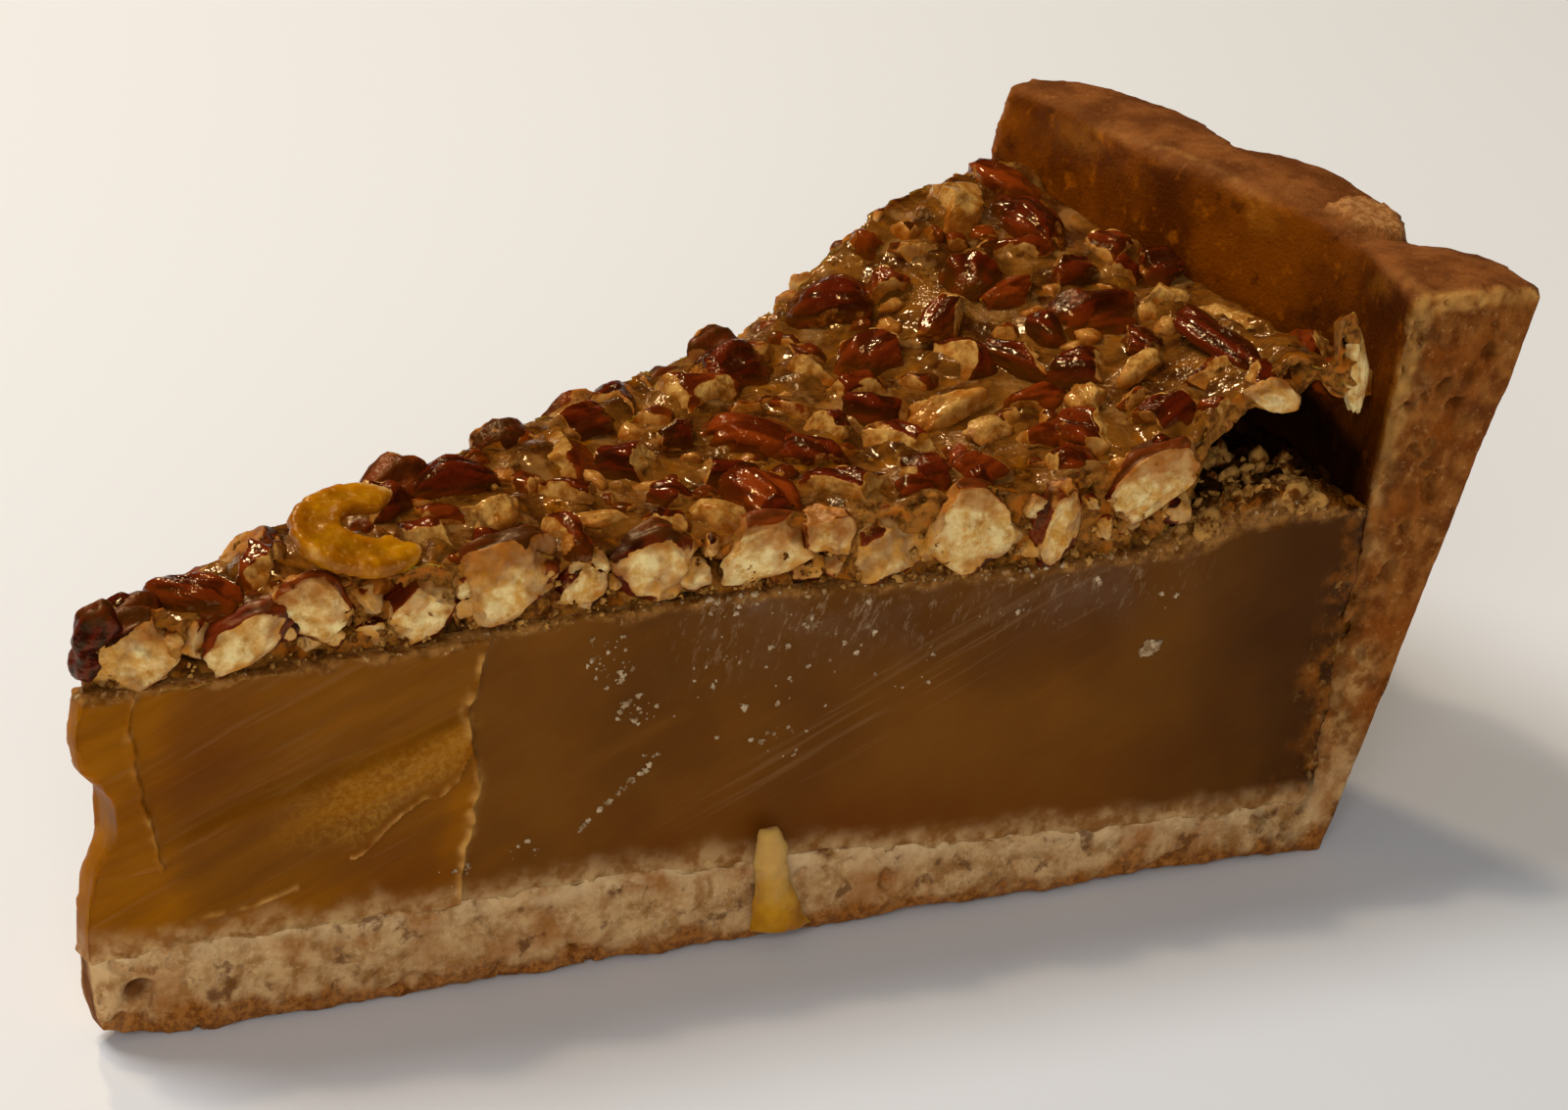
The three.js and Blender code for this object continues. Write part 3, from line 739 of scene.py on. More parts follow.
def make_filling():
    filling = softened_copy("filling", "filling_set", voxel=0.73, passes=2)
    refine(filling, lambda v: at_cut(v.co, 1.0))
    refine(filling, lambda v: outside(v.co, -1) > -1 and pie_terms(v.co)[0] < 32)

    def in_hollow_mesh(vertex):
        radius, across, height = pie_terms(vertex.co)
        return radius > 89 and height > 31 and -9 < outside(vertex.co, -1) < -0.6

    refine(filling, in_hollow_mesh)

    def on_near_cut(co):
        return smoothstep(outside(co, -1), -1.6, -0.8)

    def relief(co, normal):
        """The near cut has the knife's smear, the far one only waves, and the hollow's floor is rough."""
        radius, across, height = pie_terms(co)
        out = outside(co, -1)
        sunk = Vector((0, 0, settles(co)))
        turned_in = dives(co) + buried(co)
        facing = smoothstep(normal.dot(CUT_NORMALS[-1]), 0.5, 0.8)
        if facing > 0 and out > -1.5:
            move = near_relief(radius, height) - out + crumbly_top(co) - turned_in
            return CUT_NORMALS[-1] * facing * move - sunk + reaches_wall(co)
        if outside(co, 1) > -1.5 and normal.dot(CUT_NORMALS[1]) > 0.5:
            waves = 0.3 * wobble(co / MM, 9, 3, 5) + 0.08 * wobble(co / MM, 1.6, 3)
            return normal * (waves + crumbly_top(co) - turned_in) - sunk + reaches_wall(co)
        low = smoothstep(floor_top(radius) + 1.2 - height, 0, 0.8)
        past = past_cuts(co)
        if low > 0 and past > -2.4:
            ragged = 0.1 + 0.2 * wobble(co / MM, 2.2, 3, 6) - dives(co)
            over = low * (ragged - past) * smoothstep(past, -2.4, -0.6)
            return CUT_NORMALS[nearer_cut(co)] * over - sunk
        in_hollow = over_hollow(radius, across) * smoothstep(normal.z, 0.2, 0.6)
        rough = 0.9 * wobble(co / MM, 2.6, 3, 2) + 0.4 * wobble(co / MM, 1, 2)
        return normal * (0.15 * wobble(co / MM, 5, 3) + in_hollow * rough)

    def dives(co):
        """How far the lowest edge of the cut turns in, under the crumbs of the crust."""
        radius, across, height = pie_terms(co)
        return TURNED_IN * smoothstep(floor_top(radius) + 0.6 - height, -0.1, 0.7)

    def reaches_wall(co):
        """The filling's side edge is smeared over the wall's cut, in a ragged line."""
        radius, across, height = pie_terms(co)
        share = smoothstep(radius - inner_wall(height) + 1.8, 0, 1.7) * smoothstep(36 - height, 0, 3)
        reach = (SMEARED + 0.9 * wobble(co / MM, 2.8, 3, 2)) * share
        return outward(-1 if across < 0 else 1) * reach

    def buried(co):
        """How far that edge goes down into the wall's crumbs, so that no gap shows."""
        radius, across, height = pie_terms(co)
        return BURIED * smoothstep(radius - inner_wall(height), -0.9, -0.1)

    def settles(co):
        """How far the cut edge of the filling sinks over the floor of the crust, in a ragged line."""
        radius, across, height = pie_terms(co)
        return (SUNK + 0.5 * wobble(co / MM, 2.6, 3)) * smoothstep(floor_top(radius) + 1.9 - height, 0, 1.2)

    def crumbly_top(co):
        return 0.3 * crumb_share(co, None) * wobble(co / MM, 0.9, 2, 7)

    def amber(co, normal):
        radius, across, height = pie_terms(co)
        thin = smoothstep(7.5 - radius, -3, 2.5)
        strip = 0.8 * bump(radius - follow(SMEAR_EDGE, height) + 1.3, 1.1) * smoothstep(20 - height, 0, 3)
        low = 0.55 * smoothstep(15 - height, 0, 6) * smoothstep(44 - radius, 0, 26)
        sheet_glow = 0.75 * bump(height - follow(CREASE, radius) + 2.4, 1.8) * smoothstep(radius, 14, 26)
        smeared = 0.32 * smoothstep(follow(SMEAR_EDGE, height) - radius, -0.4, 0.4)
        inside_smear = radius < 33 and across < 0
        streak = 0.16 * wobble((0.3 * radius, height - 0.45 * radius, 2), 2.5, 4)
        glow = max(strip, sheet_glow) * smoothstep(follow(SMEAR_EDGE, height) - radius, 0, 0.6)
        return clamp(thin + low + smeared + streak + (glow if inside_smear else 0))

    def ruddy(co, normal):
        """The redder translucent patches: the upper left of the smear and the foot of the middle."""
        radius, across, height = pie_terms(co)
        upper = 0.75 * bump(radius - 10, 5) * bump(height - 24, 5)
        along = smoothstep(radius, 36, 50) * smoothstep(100 - radius, 0, 14)
        low = 0.5 * smoothstep(17 - height, 0, 7) * along
        patch = 0.6 * bump(radius - 26, 5) * bump(height - 12, 5)
        return max(upper, low, patch) * (0.8 + 0.4 * wobble(co / MM, 6, 3))

    def deep(co, normal):
        """Painted shade: darker towards the wall, and under the nuts."""
        radius, across, height = pie_terms(co)
        near_wall = 0.85 * smoothstep(radius + 4 * wobble(co / MM, 9), 80, 107)
        under_nuts = 0.4 * smoothstep(height + 2 * wobble(co / MM, 12), 17, 28) * smoothstep(radius, 36, 48)
        return max(near_wall, under_nuts)

    def lip(co, normal):
        """Painted highlights on the torn edges of the smear's sheets."""
        radius, across, height = pie_terms(co)
        if radius > 34 or outside(co, -1) < -2:
            return 0
        terms = smear_terms(radius, height)
        broken = 0.3 + 1.1 * wobble((radius, height, 3), 1.3, 3)
        edge = bump(terms["smear"] - 0.25, 0.45)
        on_smear = terms["smear"] > -0.1
        edge = max(edge, 0.9 * bump(terms["flap"] - 0.2, 0.35) if on_smear and radius > 22 else 0)
        edge = max(edge, 0.7 * bump(terms["peel"] - 0.2, 0.32))
        edge = max(edge, 0.7 * bump(terms["ridge"], 0.25) if 7 < radius < 18 else 0)
        return clamp(edge * broken)

    def sandy(co, normal):
        radius, across, height = pie_terms(co)
        if radius > 33 or outside(co, -1) < -2:
            return 0
        above = height - follow(FLAP, radius)
        band = smoothstep(above, 0.5, 2) * smoothstep(follow(CREASE, radius) - 0.4 - height, -0.6, 1.5)
        return 0.42 * band * smoothstep(radius, 13, 25) * smoothstep(33 - radius, 0, 1.5)

    # Where the near cut is scuffed; the same mask also carries the painted sheen over its top.
    def scuffed(co, normal):
        radius, across, height = pie_terms(co)
        top = smoothstep(height, 22, 30) * smoothstep(radius, 44, 54) * smoothstep(98 - radius, 0, 16)
        return on_near_cut(co) * top * clamp(0.7 + 0.8 * wobble(co / MM, 7, 3, 8))

    def scraped(co, normal):
        radius, across, height = pie_terms(co)
        reach = smoothstep(radius, 42, 58) * smoothstep(94 - radius, 0, 12)
        run = bump(height - (14 + 0.5 * (radius - 54)), 5) + 0.4 * smoothstep(34 - radius, 0, 3)
        return on_near_cut(co) * clamp(max(reach * run, 0.6 * smoothstep(33 - radius, 0, 6)))

    def dark(co, normal):
        """The shade in the hollow beside the wall."""
        radius, across, height = pie_terms(co)
        inside = smoothstep(-1.2 - outside(co, -1), 0, 2.5) * smoothstep(-across, 0.0, 0.5)
        return 0.85 * inside * smoothstep(radius, 90, 94) * smoothstep(normal.z, 0.1, 0.4)

    def foot(co, normal):
        """The crumbs that the knife dragged up from the floor of the crust."""
        radius, across, height = pie_terms(co)
        above = height - floor_top(radius)
        ragged = 0.8 * wobble(co / MM, 3.4, 3)
        at_edge = smoothstep(past_cuts(co), -2.4, -1.6)
        return 0.95 * at_edge * smoothstep(1.5 + ragged - above, -0.6, 2.2)

    def rubble(co, normal):
        """The broken, darker filling inside the hollow and down the wall."""
        radius, across, height = pie_terms(co)
        gap = inner_wall(height) - radius
        beside_wall = smoothstep(2.6 + 2.4 * wobble(co / MM, 4, 4) - gap, -0.8, 2.4) * on_near_cut(co)
        in_hollow = over_hollow(radius, across) * smoothstep(normal.z, 0, 0.4)
        return max(beside_wall * 0.8, in_hollow)

    reshape(filling, relief)
    paint(
        filling, amber=amber, ruddy=ruddy, lip=lip, sandy=sandy, deep=deep, scuffed=scuffed,
        scraped=scraped, crumbs=crumb_share, foot=foot, rubble=rubble, dark=dark,
    )
    finish_piece(filling, custard(), "filling")


def crumb_share(co, normal):
    """The crumbs that lie on the filling's top, which show at the cuts as a thin tan band."""
    radius, across, height = pie_terms(co)
    depth = filling_top(radius, across) - height
    band = 0.7 + 0.8 * wobble(co / MM, 3, 3) + 2.2 * bump(radius - 98, 8)
    return 0.9 * smoothstep(band - depth, -0.3, 0.4)


# ---- Nuts ----

# The draw, as the solids have it: how many nuts, the tries it may take, how near they may lie for their
# size, and how far they may lean in degrees.
NUT_SEED = 20
NUT_COUNT = 94
NUT_TRIES = 6000
NUT_SPACING = 0.225
LEAN = 22
# The smaller pieces between them, on top and at each cut.
FRAGMENT_SEED = NUT_SEED + 41
FRAGMENT_TRIES = 900
CUT_SEED = NUT_SEED + 5
CUT_SCRAPS = 40

# The pieces that can be told apart: away from the pie's axis, across the slice, length, width, heading in
# degrees, how much flesh shows, and how warm the skin is.
LARGEST_PIECES = [
    (100.5, -12.5, 14, 4.5, -100, 0.1, 0.2),
    (104.5, -8.5, 11, 4.5, -88, 0.95, 0.4),
    (97, 0, 7.5, 6, 5, 0, 0.55),
    (88, -2, 9, 3.2, -80, 0.4, 0.3),
    (62, 0.5, 8, 5.6, -50, 0, 0.95),
    (63, -11.5, 9, 6, -80, 0.5, 0),
    (56.5, -8.5, 8, 5, -95, 0.1, 0.9),
    (50.5, 1, 6, 4.6, -50, 0.3, 0.15),
    (56, -4, 6, 4, -30, 0.2, 0.1),
    (37, -1, 8.5, 5, 25, 0.95, 0.3),
    (36.5, 5, 7.5, 4.6, -10, 0.1, 0.25),
    (44, -7, 7, 2.6, -30, 0.95, 0.3),
    (68.5, 12, 7.5, 6, 15, 0.1, 0.4),
    (51, 9.5, 7, 4.4, 10, 0.2, 0.4),
    (81.5, 16, 7, 6, -35, 0.1, 0.35),
    (80, 7.5, 7, 5, 12, 0.3, 0.6),
    (87, 7, 8.5, 4.5, 26, 0.5, 0.5),
    (80, -3.5, 9.5, 4.4, 5, 1, 0.5),
    (85, -15, 8, 5.4, -85, 0.5, 0.6),
    (91, -17.5, 8.5, 4.6, 10, 0.4, 0.2),
    (74.5, -13.5, 7, 5.4, 10, 0.3, 0.9),
    (71.5, -7, 8, 5, -95, 0.85, 0.3),
    (102, 15, 9, 4.6, -95, 0.1, 0.4),
    (97, 20, 8, 6, -10, 0.95, 0.6),
    (17, 0, 8, 5, -85, 0.2, 0.8),
    (11.5, 0.5, 7, 3.6, -60, 0.1, 0.5),
]

# The cut nuts that both cuts show: radius, height, length, thickness and turn in degrees.
CUT_PIECES = [
    (5.6, 33, 7, 5, 15),
    (13.5, 33.2, 7, 4, 30),
    (19, 35, 6, 4.4, -35),
    (27, 33.2, 6, 4.2, 35),
    (34, 35.2, 8, 6.4, 20),
    (40, 33.6, 4.5, 3.5, 60),
    (46, 34.8, 6.5, 5.4, -10),
    (55, 35, 8.5, 4.6, 12),
    (60, 35.8, 4, 4, 80),
    (65.5, 33.6, 6, 5, 25),
    (72, 34.6, 7.5, 6.4, -20),
    (80, 34, 7, 3.6, 75),
    (88, 36.6, 8.5, 4.4, 28),
]
# Two more at the point of the slice, with how much flesh shows and the tone as the last two.
TIP_PIECES = [
    (2.8, 34.9, 4.4, 3.6, 62, 0, 0),
    (2.1, 32.6, 3.2, 2.6, 84, 0.6, 0.1),
]
# A pale scrap standing on end beside the wall, with the height above which it is glazed, and the broken end
# of a nut over the hollow, in the same terms, and how far out of the near cut's plane both lie.
FLAKE = (106.6, 43.4, 7.6, 1.7, 99)
FLAKE_FILM = 46.6
BROKEN_END = (99.4, 41.8, 5.6, 2.6, -20)
BREAK_OUT = -3

# How wide the pieces are into the slice, how much larger the cut nuts are than their solids, and the turn
# past which a nut lies lower at the far cut.
CUT_WIDTH = 5.6
SCRAP_WIDTH = 3
TIP_WIDTH = 2.7
END_WIDTH = 4
CUT_GROWN = 1.16
STEEP = 60

# The layer's corner over the hollow beside the wall has broken away: how far back from the near cut,
# how far in the break is felt, and how much higher the corner stands at most, and at what radius.
BREAK_DEPTH = 3.6
BREAK_REACH = 15
HEAVE = 2.4
HEAVE_RADIUS = 105
# How much flatter, as a share, and how much higher the nuts over the hollow lie, and how much lower those
# beside the far cut.
HUNG_FLATTER = 0.4
HUNG_HIGHER = 0.9
FAR_SUNK = 1.1


def over_hollow(radius, across):
    """1 over the hollow beside the wall, 0 away from it."""
    return smoothstep(radius, 90, 97) * smoothstep(-across, 0, 0.4)


def heaved(radius, across):
    """How much higher the layer's broken corner stands beside the wall."""
    return HEAVE * bump(radius - HEAVE_RADIUS, 5) * smoothstep(-across, 0.15, 0.7)


def broken_back(point):
    """The move in millimetres that takes a point of the layer to its place behind the break."""
    radius, across, height = pie_terms(point)
    share = clamp((outside(point, -1) + BREAK_REACH) / BREAK_REACH)
    share *= 1 - 0.55 * smoothstep(radius, 101, 104)
    return -CUT_NORMALS[-1] * BREAK_DEPTH * share * over_hollow(radius, across)


def choose_nuts():
    """The same draw as the solids', so that each chopped piece lies where its solid does."""
    draw = draw_from(NUT_SEED)
    nuts = []
    for x, y, length, width, heading, flesh, tone in LARGEST_PIECES:
        nuts.append({
            "x": x, "y": y, "length": length, "width": width, "thickness": min(width, 4.6),
            "heading": heading, "lean": LEAN * (2 * next(draw) - 1), "shape": next(draw),
            "flesh": flesh, "tone": tone,
        })
    tries = 0
    while tries < NUT_TRIES and len(nuts) < NUT_COUNT:
        tries += 1
        radius = 4 + 104 * math.sqrt(next(draw))
        across = 2 * next(draw) - 1
        length = 5 + 4.2 * next(draw) ** 1.4
        width = length * (0.58 + 0.32 * next(draw))
        nut = {
            "x": radius * math.cos(across * HALF_ANGLE), "y": radius * math.sin(across * HALF_ANGLE),
            "length": length, "width": width, "thickness": min(width, 4.2),
            "heading": 360 * next(draw), "lean": LEAN * (2 * next(draw) - 1), "shape": next(draw),
        }
        nut["flesh"] = (0.1, 0.3, 0.15, 0.6, 0.95)[int(5 * nut["shape"]) % 5]
        nut["tone"] = (7.3 * nut["shape"]) % 1
        span = nut["length"] + nut["width"]
        clear = all(
            math.hypot(nut["x"] - other["x"], nut["y"] - other["y"])
            > NUT_SPACING * (span + other["length"] + other["width"])
            for other in nuts
        )
        if clear:
            nuts.append(nut)
    return nuts


def choose_fragments(nuts):
    """Smaller chips that fill the gaps between the chopped pieces."""
    draw = draw_from(FRAGMENT_SEED)
    fragments = []
    for _ in range(FRAGMENT_TRIES):
        radius = 4 + 101 * math.sqrt(next(draw))
        across = 1.9 * next(draw) - 0.95
        length = 2.4 + 2.8 * next(draw)
        fragment = {
            "x": radius * math.cos(across * HALF_ANGLE), "y": radius * math.sin(across * HALF_ANGLE),
            "length": length, "width": length * (0.6 + 0.35 * next(draw)), "thickness": 0.55 * length,
            "heading": 360 * next(draw), "lean": 50 * (next(draw) - 0.5), "shape": next(draw),
        }
        fragment["flesh"] = (0.95, 0.3, 0.15, 0.7)[int(4 * fragment["shape"])]
        fragment["tone"] = (9.1 * fragment["shape"]) % 1
        gap = min(
            math.hypot(fragment["x"] - other["x"], fragment["y"] - other["y"])
            - 0.2 * (other["length"] + other["width"])
            for other in nuts + fragments
        )
        if gap > 0.36 * length:
            fragments.append(fragment)
    return fragments


class NutPile:
    """Chopped nuts gathered in one mesh, with the numbers that their finish reads."""

    def __init__(self):
        self.parts = []

    def chunk(
        self, size, place, seed, flesh, tone, detail=4, breaks=5, reach=(0.36, 0.72), level=None, film=None,
        knife=None,
    ):
        """One chopped piece: a furrowed lobe, broken flat on a few sides.

        size is length, width and thickness in millimetres; place turns and moves it; flesh is how much of
        its pale inside shows, and tone how warm it is; reach is how near its middle the breaks come; level
        is the height of the glaze round it; film is the height above which a piece at a cut is glazed;
        knife is the cut's side and how far out of its plane the piece may stand.
        """
        bm = bmesh.new()
        layers = bm.verts.layers.float
        kept = map(layers.new, ("flesh", "tone", "sunk", "grain", "core"))
        flesh_kept, tone_kept, sunk_kept, grain_kept, core_kept = kept
        draw = draw_from(int(1 + seed * 2000003))
        # near seeds start alike, so the first numbers are left out
        for _ in range(3):
            next(draw)
        planes = []
        for _ in range(breaks):
            turn = 2 * math.pi * next(draw)
            lift = 1.5 * next(draw) - 0.6
            normal = Vector((math.cos(turn) * 1.5, math.sin(turn), lift)).normalized()
            planes.append((normal, lerp(*reach, next(draw))))
        furrows = 2.2 + 1.6 * next(draw)
        phase = 6.28 * next(draw)
        shift = Vector((9 * seed, 5 * next(draw), 7 * next(draw)))
        half = Vector(size) / 2
        made = bmesh.ops.create_icosphere(bm, subdivisions=detail, radius=1)["verts"]
        for vertex in made:
            u = vertex.co.copy()
            streak = noise.fractal(Vector((u.x * 0.8, u.y * 3.2, u.z * 3.2)) + shift, 0.8, 2, 3)
            furrow = math.cos(furrows * math.pi * u.y + phase + noise.noise(u * 1.5 + shift))
            u *= 1 + 0.22 * noise.noise(u * 1.4 + shift) + 0.05 * furrow * (1 - u.x * u.x) + 0.045 * streak
            broken = 0.0
            for normal, near in planes:
                uneven = 0.07 * noise.noise(u * 2.6 + shift)
                over = u.dot(normal) - near - uneven
                if over > 0:
                    u -= normal * over * 0.97
                    broken = max(broken, smoothstep(over, 0, 0.06))
            u += u * broken * (0.1 * noise.noise(u * 3.4 + shift) + 0.05 * noise.noise(u * 9 + shift))
            u += u * 0.02 * noise.noise(u * 8 - shift)
            patch = 0.5 + 0.9 * noise.noise(u * 1.1 - shift)
            spot = place @ (Vector((u.x * half.x, u.y * half.y, u.z * half.z)) * MM)
            sliced = 0.0
            vertex[core_kept] = 0.65
            if knife:
                side, limit = knife
                waves = 0.45 * noise.noise(u * 2.2 - shift)
                grains = 0.12 * noise.noise(u * 7)
                over = outside(spot, side) - limit - waves - grains
                if over > 0:
                    spot -= CUT_NORMALS[side] * 0.86 * over * MM
                    sliced = smoothstep(over, 0, 0.2)
                vertex[core_kept] = smoothstep(over + 0.5 * noise.noise(u * 3 + shift), -0.1, 1.5)
            vertex.co = spot
            shown = 0.85 * broken * smoothstep(flesh, -0.05, 0.25) + 0.8 * flesh * patch
            shown = lerp(shown, 1, smoothstep(flesh, 0.85, 1))
            vertex[flesh_kept] = clamp(max(shown, sliced * (0.86 + 0.3 * noise.noise(u * 2.4 + shift))))
            vertex[tone_kept] = clamp(tone + 0.3 * noise.noise(u * 0.9 + shift))
            vertex[grain_kept] = clamp(0.5 + 0.6 * streak)
            if level is not None:
                cover = smoothstep(level + 1.1 - spot.z / MM + 0.4 * noise.noise(u * 2 + shift), -0.4, 1.3)
                vertex[sunk_kept] = 0.2 + 0.7 * cover
            if film is not None:
                ragged = 1.4 * noise.noise(u * 1.6 + shift) + 0.5 * noise.noise(u * 5 + shift)
                vertex[sunk_kept] = 0.7 * smoothstep(spot.z / MM + ragged, film - 0.6, film + 0.7)
        self.parts.append(set_apart(bm))

    def piece(self, name, material):
        finish_piece(joined(name, self.parts), material, None)


def nut_place(nut, radius, across, raise_by):
    """Turns a piece as its solid is turned, and sets it in the glaze along the layer's slope."""
    reach = nut["length"] / 2
    rise = glaze_top(radius + reach, across) - glaze_top(radius - reach, across)
    tilt = math.atan(rise / nut["length"])
    height = glaze_top(radius, across) + raise_by
    return (
        Matrix.Translation(Vector((nut["x"] + AXIS_X, nut["y"], height)) * MM)
        @ Matrix.Rotation(-tilt, 4, "Y")
        @ Matrix.Rotation(math.radians(nut["heading"]), 4, "Z")
        @ Matrix.Rotation(math.radians(nut["lean"]), 4, "X")
    )


def lay_nut(pile, nut, raise_by, grow, **options):
    """Lays one piece in the glaze, smaller where the slice has no room for it."""
    radius = math.hypot(nut["x"], nut["y"])
    across = math.atan2(nut["y"], nut["x"]) / HALF_ANGLE
    edge = (1 - abs(across)) * HALF_ANGLE * radius + BLUNT
    inset = clamp(edge / (0.5 * nut["width"]), 0.55, 1) * grow
    hung = over_hollow(radius, across)
    thickness = nut["thickness"] * grow * (1 - HUNG_FLATTER * hung)
    size = (nut["length"] * inset, nut["width"] * inset, thickness)
    heave = heaved(radius, across)
    level = glaze_top(radius, across) + heave
    sunk_edge = FAR_SUNK * smoothstep(across, 0.84, 0.94)
    place = nut_place(nut, radius, across, raise_by + HUNG_HIGHER * hung + heave - sunk_edge)
    # those that the knife's faces would squeeze are moved inward
    past_near = max(0, outside(place.translation, -1) + 0.36 * nut["width"] + 1.4)
    past_far = max(0, outside(place.translation, 1) + 0.36 * nut["width"] + 0.8)
    shift = broken_back(place.translation)
    shift -= CUT_NORMALS[-1] * past_near * (1 - hung)
    shift -= CUT_NORMALS[1] * past_far
    place = Matrix.Translation(shift * MM) @ place
    pile.chunk(size, place, nut["shape"], nut["flesh"], nut["tone"], level=level, **options)


def make_top_nuts():
    finish = pecan("pecan_glazed", 0.14, pale_flesh=srgb(218, 170, 88), warm_flesh=srgb(150, 88, 20))
    nuts = choose_nuts()
    largest = len(LARGEST_PIECES)
    pile = NutPile()
    for nut in nuts[:largest]:
        whole = nut["flesh"] < 0.2
        lay_nut(
            pile, nut, raise_by=-0.13 * nut["thickness"], grow=1.16, detail=5,
            breaks=2 if whole else 5, reach=(0.7, 0.9) if whole else (0.4, 0.72),
        )
    pile.piece("pecans_largest", finish)
    pile = NutPile()
    for nut in nuts[largest:]:
        lay_nut(pile, nut, raise_by=-0.14 * nut["thickness"], grow=1.2, reach=(0.42, 0.8))
    for fragment in choose_fragments(nuts):
        lay_nut(pile, fragment, raise_by=-0.16 * fragment["thickness"], grow=1.1, detail=3, breaks=4)
    pile.piece("pecans_chopped", finish)


def cut_place(side, radius, height, turn, out):
    """Turns a piece and sets its middle on a cut, standing out of the cut's plane."""
    return (
        Matrix.Translation(on_cut(radius, side, height, out))
        @ Matrix.Rotation(side * HALF_ANGLE, 4, "Z")
        @ Matrix.Rotation(-math.radians(turn), 4, "Y")
    )


def choose_cut_scraps(side, draw):
    """Small broken pieces between the larger ones at a cut."""
    chosen = []
    for _ in range(CUT_SCRAPS * 6):
        radius = 3 + 96 * next(draw)
        low = filling_top(radius, side) + 1.2
        high = glaze_top(radius, side) - 0.6
        height = lerp(low, high, next(draw))
        length = 2 + 2.8 * next(draw) ** 1.3
        turn = 60 * next(draw) - 30
        scrap = (radius, height, length, length * (0.6 + 0.35 * next(draw)), turn)
        in_pocket = side < 0 and radius > 91
        gaps = [
            math.hypot(radius - other[0], height - other[1])
            - 0.34 * (other[2] + other[3]) / 2
            - 0.3 * length
            for other in CUT_PIECES + chosen
        ]
        if min(gaps) > 0 and not in_pocket and len(chosen) < CUT_SCRAPS:
            chosen.append(scrap)
    return chosen


def make_cut_nuts():
    pile = NutPile()
    draw = draw_from(CUT_SEED)
    for side in (-1, 1):
        for radius, height, length, thickness, turn in CUT_PIECES:
            if side > 0 and turn > STEEP:
                height -= 1
            size = (length * CUT_GROWN, CUT_WIDTH, thickness * CUT_GROWN)
            flesh = (0.5, 0.9, 0.2, 0.8, 0.6)[int(5 * next(draw))]
            place = cut_place(side, radius, height, turn, -1.5 + 0.6 * next(draw))
            film = glaze_top(radius, side) - 1.2 + 1.4 * next(draw)
            pile.chunk(
                size, place, next(draw), flesh, next(draw), detail=5 if side < 0 else 4, reach=(0.6, 0.86),
                film=film, knife=(side, -0.2 + 0.9 * next(draw)),
            )
        for radius, height, length, thickness, turn in choose_cut_scraps(side, draw):
            flesh = (0.9, 0.7, 0.2, 0.5)[int(4 * next(draw))]
            place = cut_place(side, radius, height, turn, -1.2 + 0.6 * next(draw))
            pile.chunk(
                (length, SCRAP_WIDTH, thickness), place, next(draw), flesh, next(draw), detail=3, breaks=6,
                reach=(0.42, 0.8), film=glaze_top(radius, side) - 0.6,
                knife=(side, -0.3 + 0.6 * next(draw)),
            )
    for number, (radius, height, length, thickness, turn, flesh, tone) in enumerate(TIP_PIECES):
        pile.chunk(
            (length, TIP_WIDTH, thickness), cut_place(-1, radius, height, turn, -1.2), 0.17 + 0.3 * number,
            flesh, tone, breaks=3, reach=(0.7, 0.9), film=36,
        )
    radius, height, length, thickness, turn = FLAKE
    pile.chunk(
        (length * 1.1, SCRAP_WIDTH, thickness * 1.3), cut_place(-1, radius, height, turn, BREAK_OUT), 0.61,
        flesh=1, tone=0.5, detail=5, breaks=4, reach=(0.6, 0.9), film=FLAKE_FILM,
    )
    radius, height, length, thickness, turn = BROKEN_END
    pile.chunk(
        (length, END_WIDTH, thickness), cut_place(-1, radius, height, turn, BREAK_OUT), 0.31,
        flesh=0.9, tone=0.5, breaks=6, reach=(0.5, 0.84), film=height + 1.2, knife=(-1, BREAK_OUT + 0.8),
    )
    finish = pecan("pecan_broken", 0.4, pale_flesh=srgb(250, 222, 154), warm_flesh=srgb(212, 154, 66))
    pile.piece("pecans_at_cuts", finish)


# ---- Glaze that holds the nuts ----

# How far the glaze stands back from a cut between the nuts, how deep its voids there go, and how far its
# top spreads toward the wall.
GLAZE_SET_BACK = 0.7
VOID_DEPTH = 2.4
GLAZE_TO_WALL = 1.5


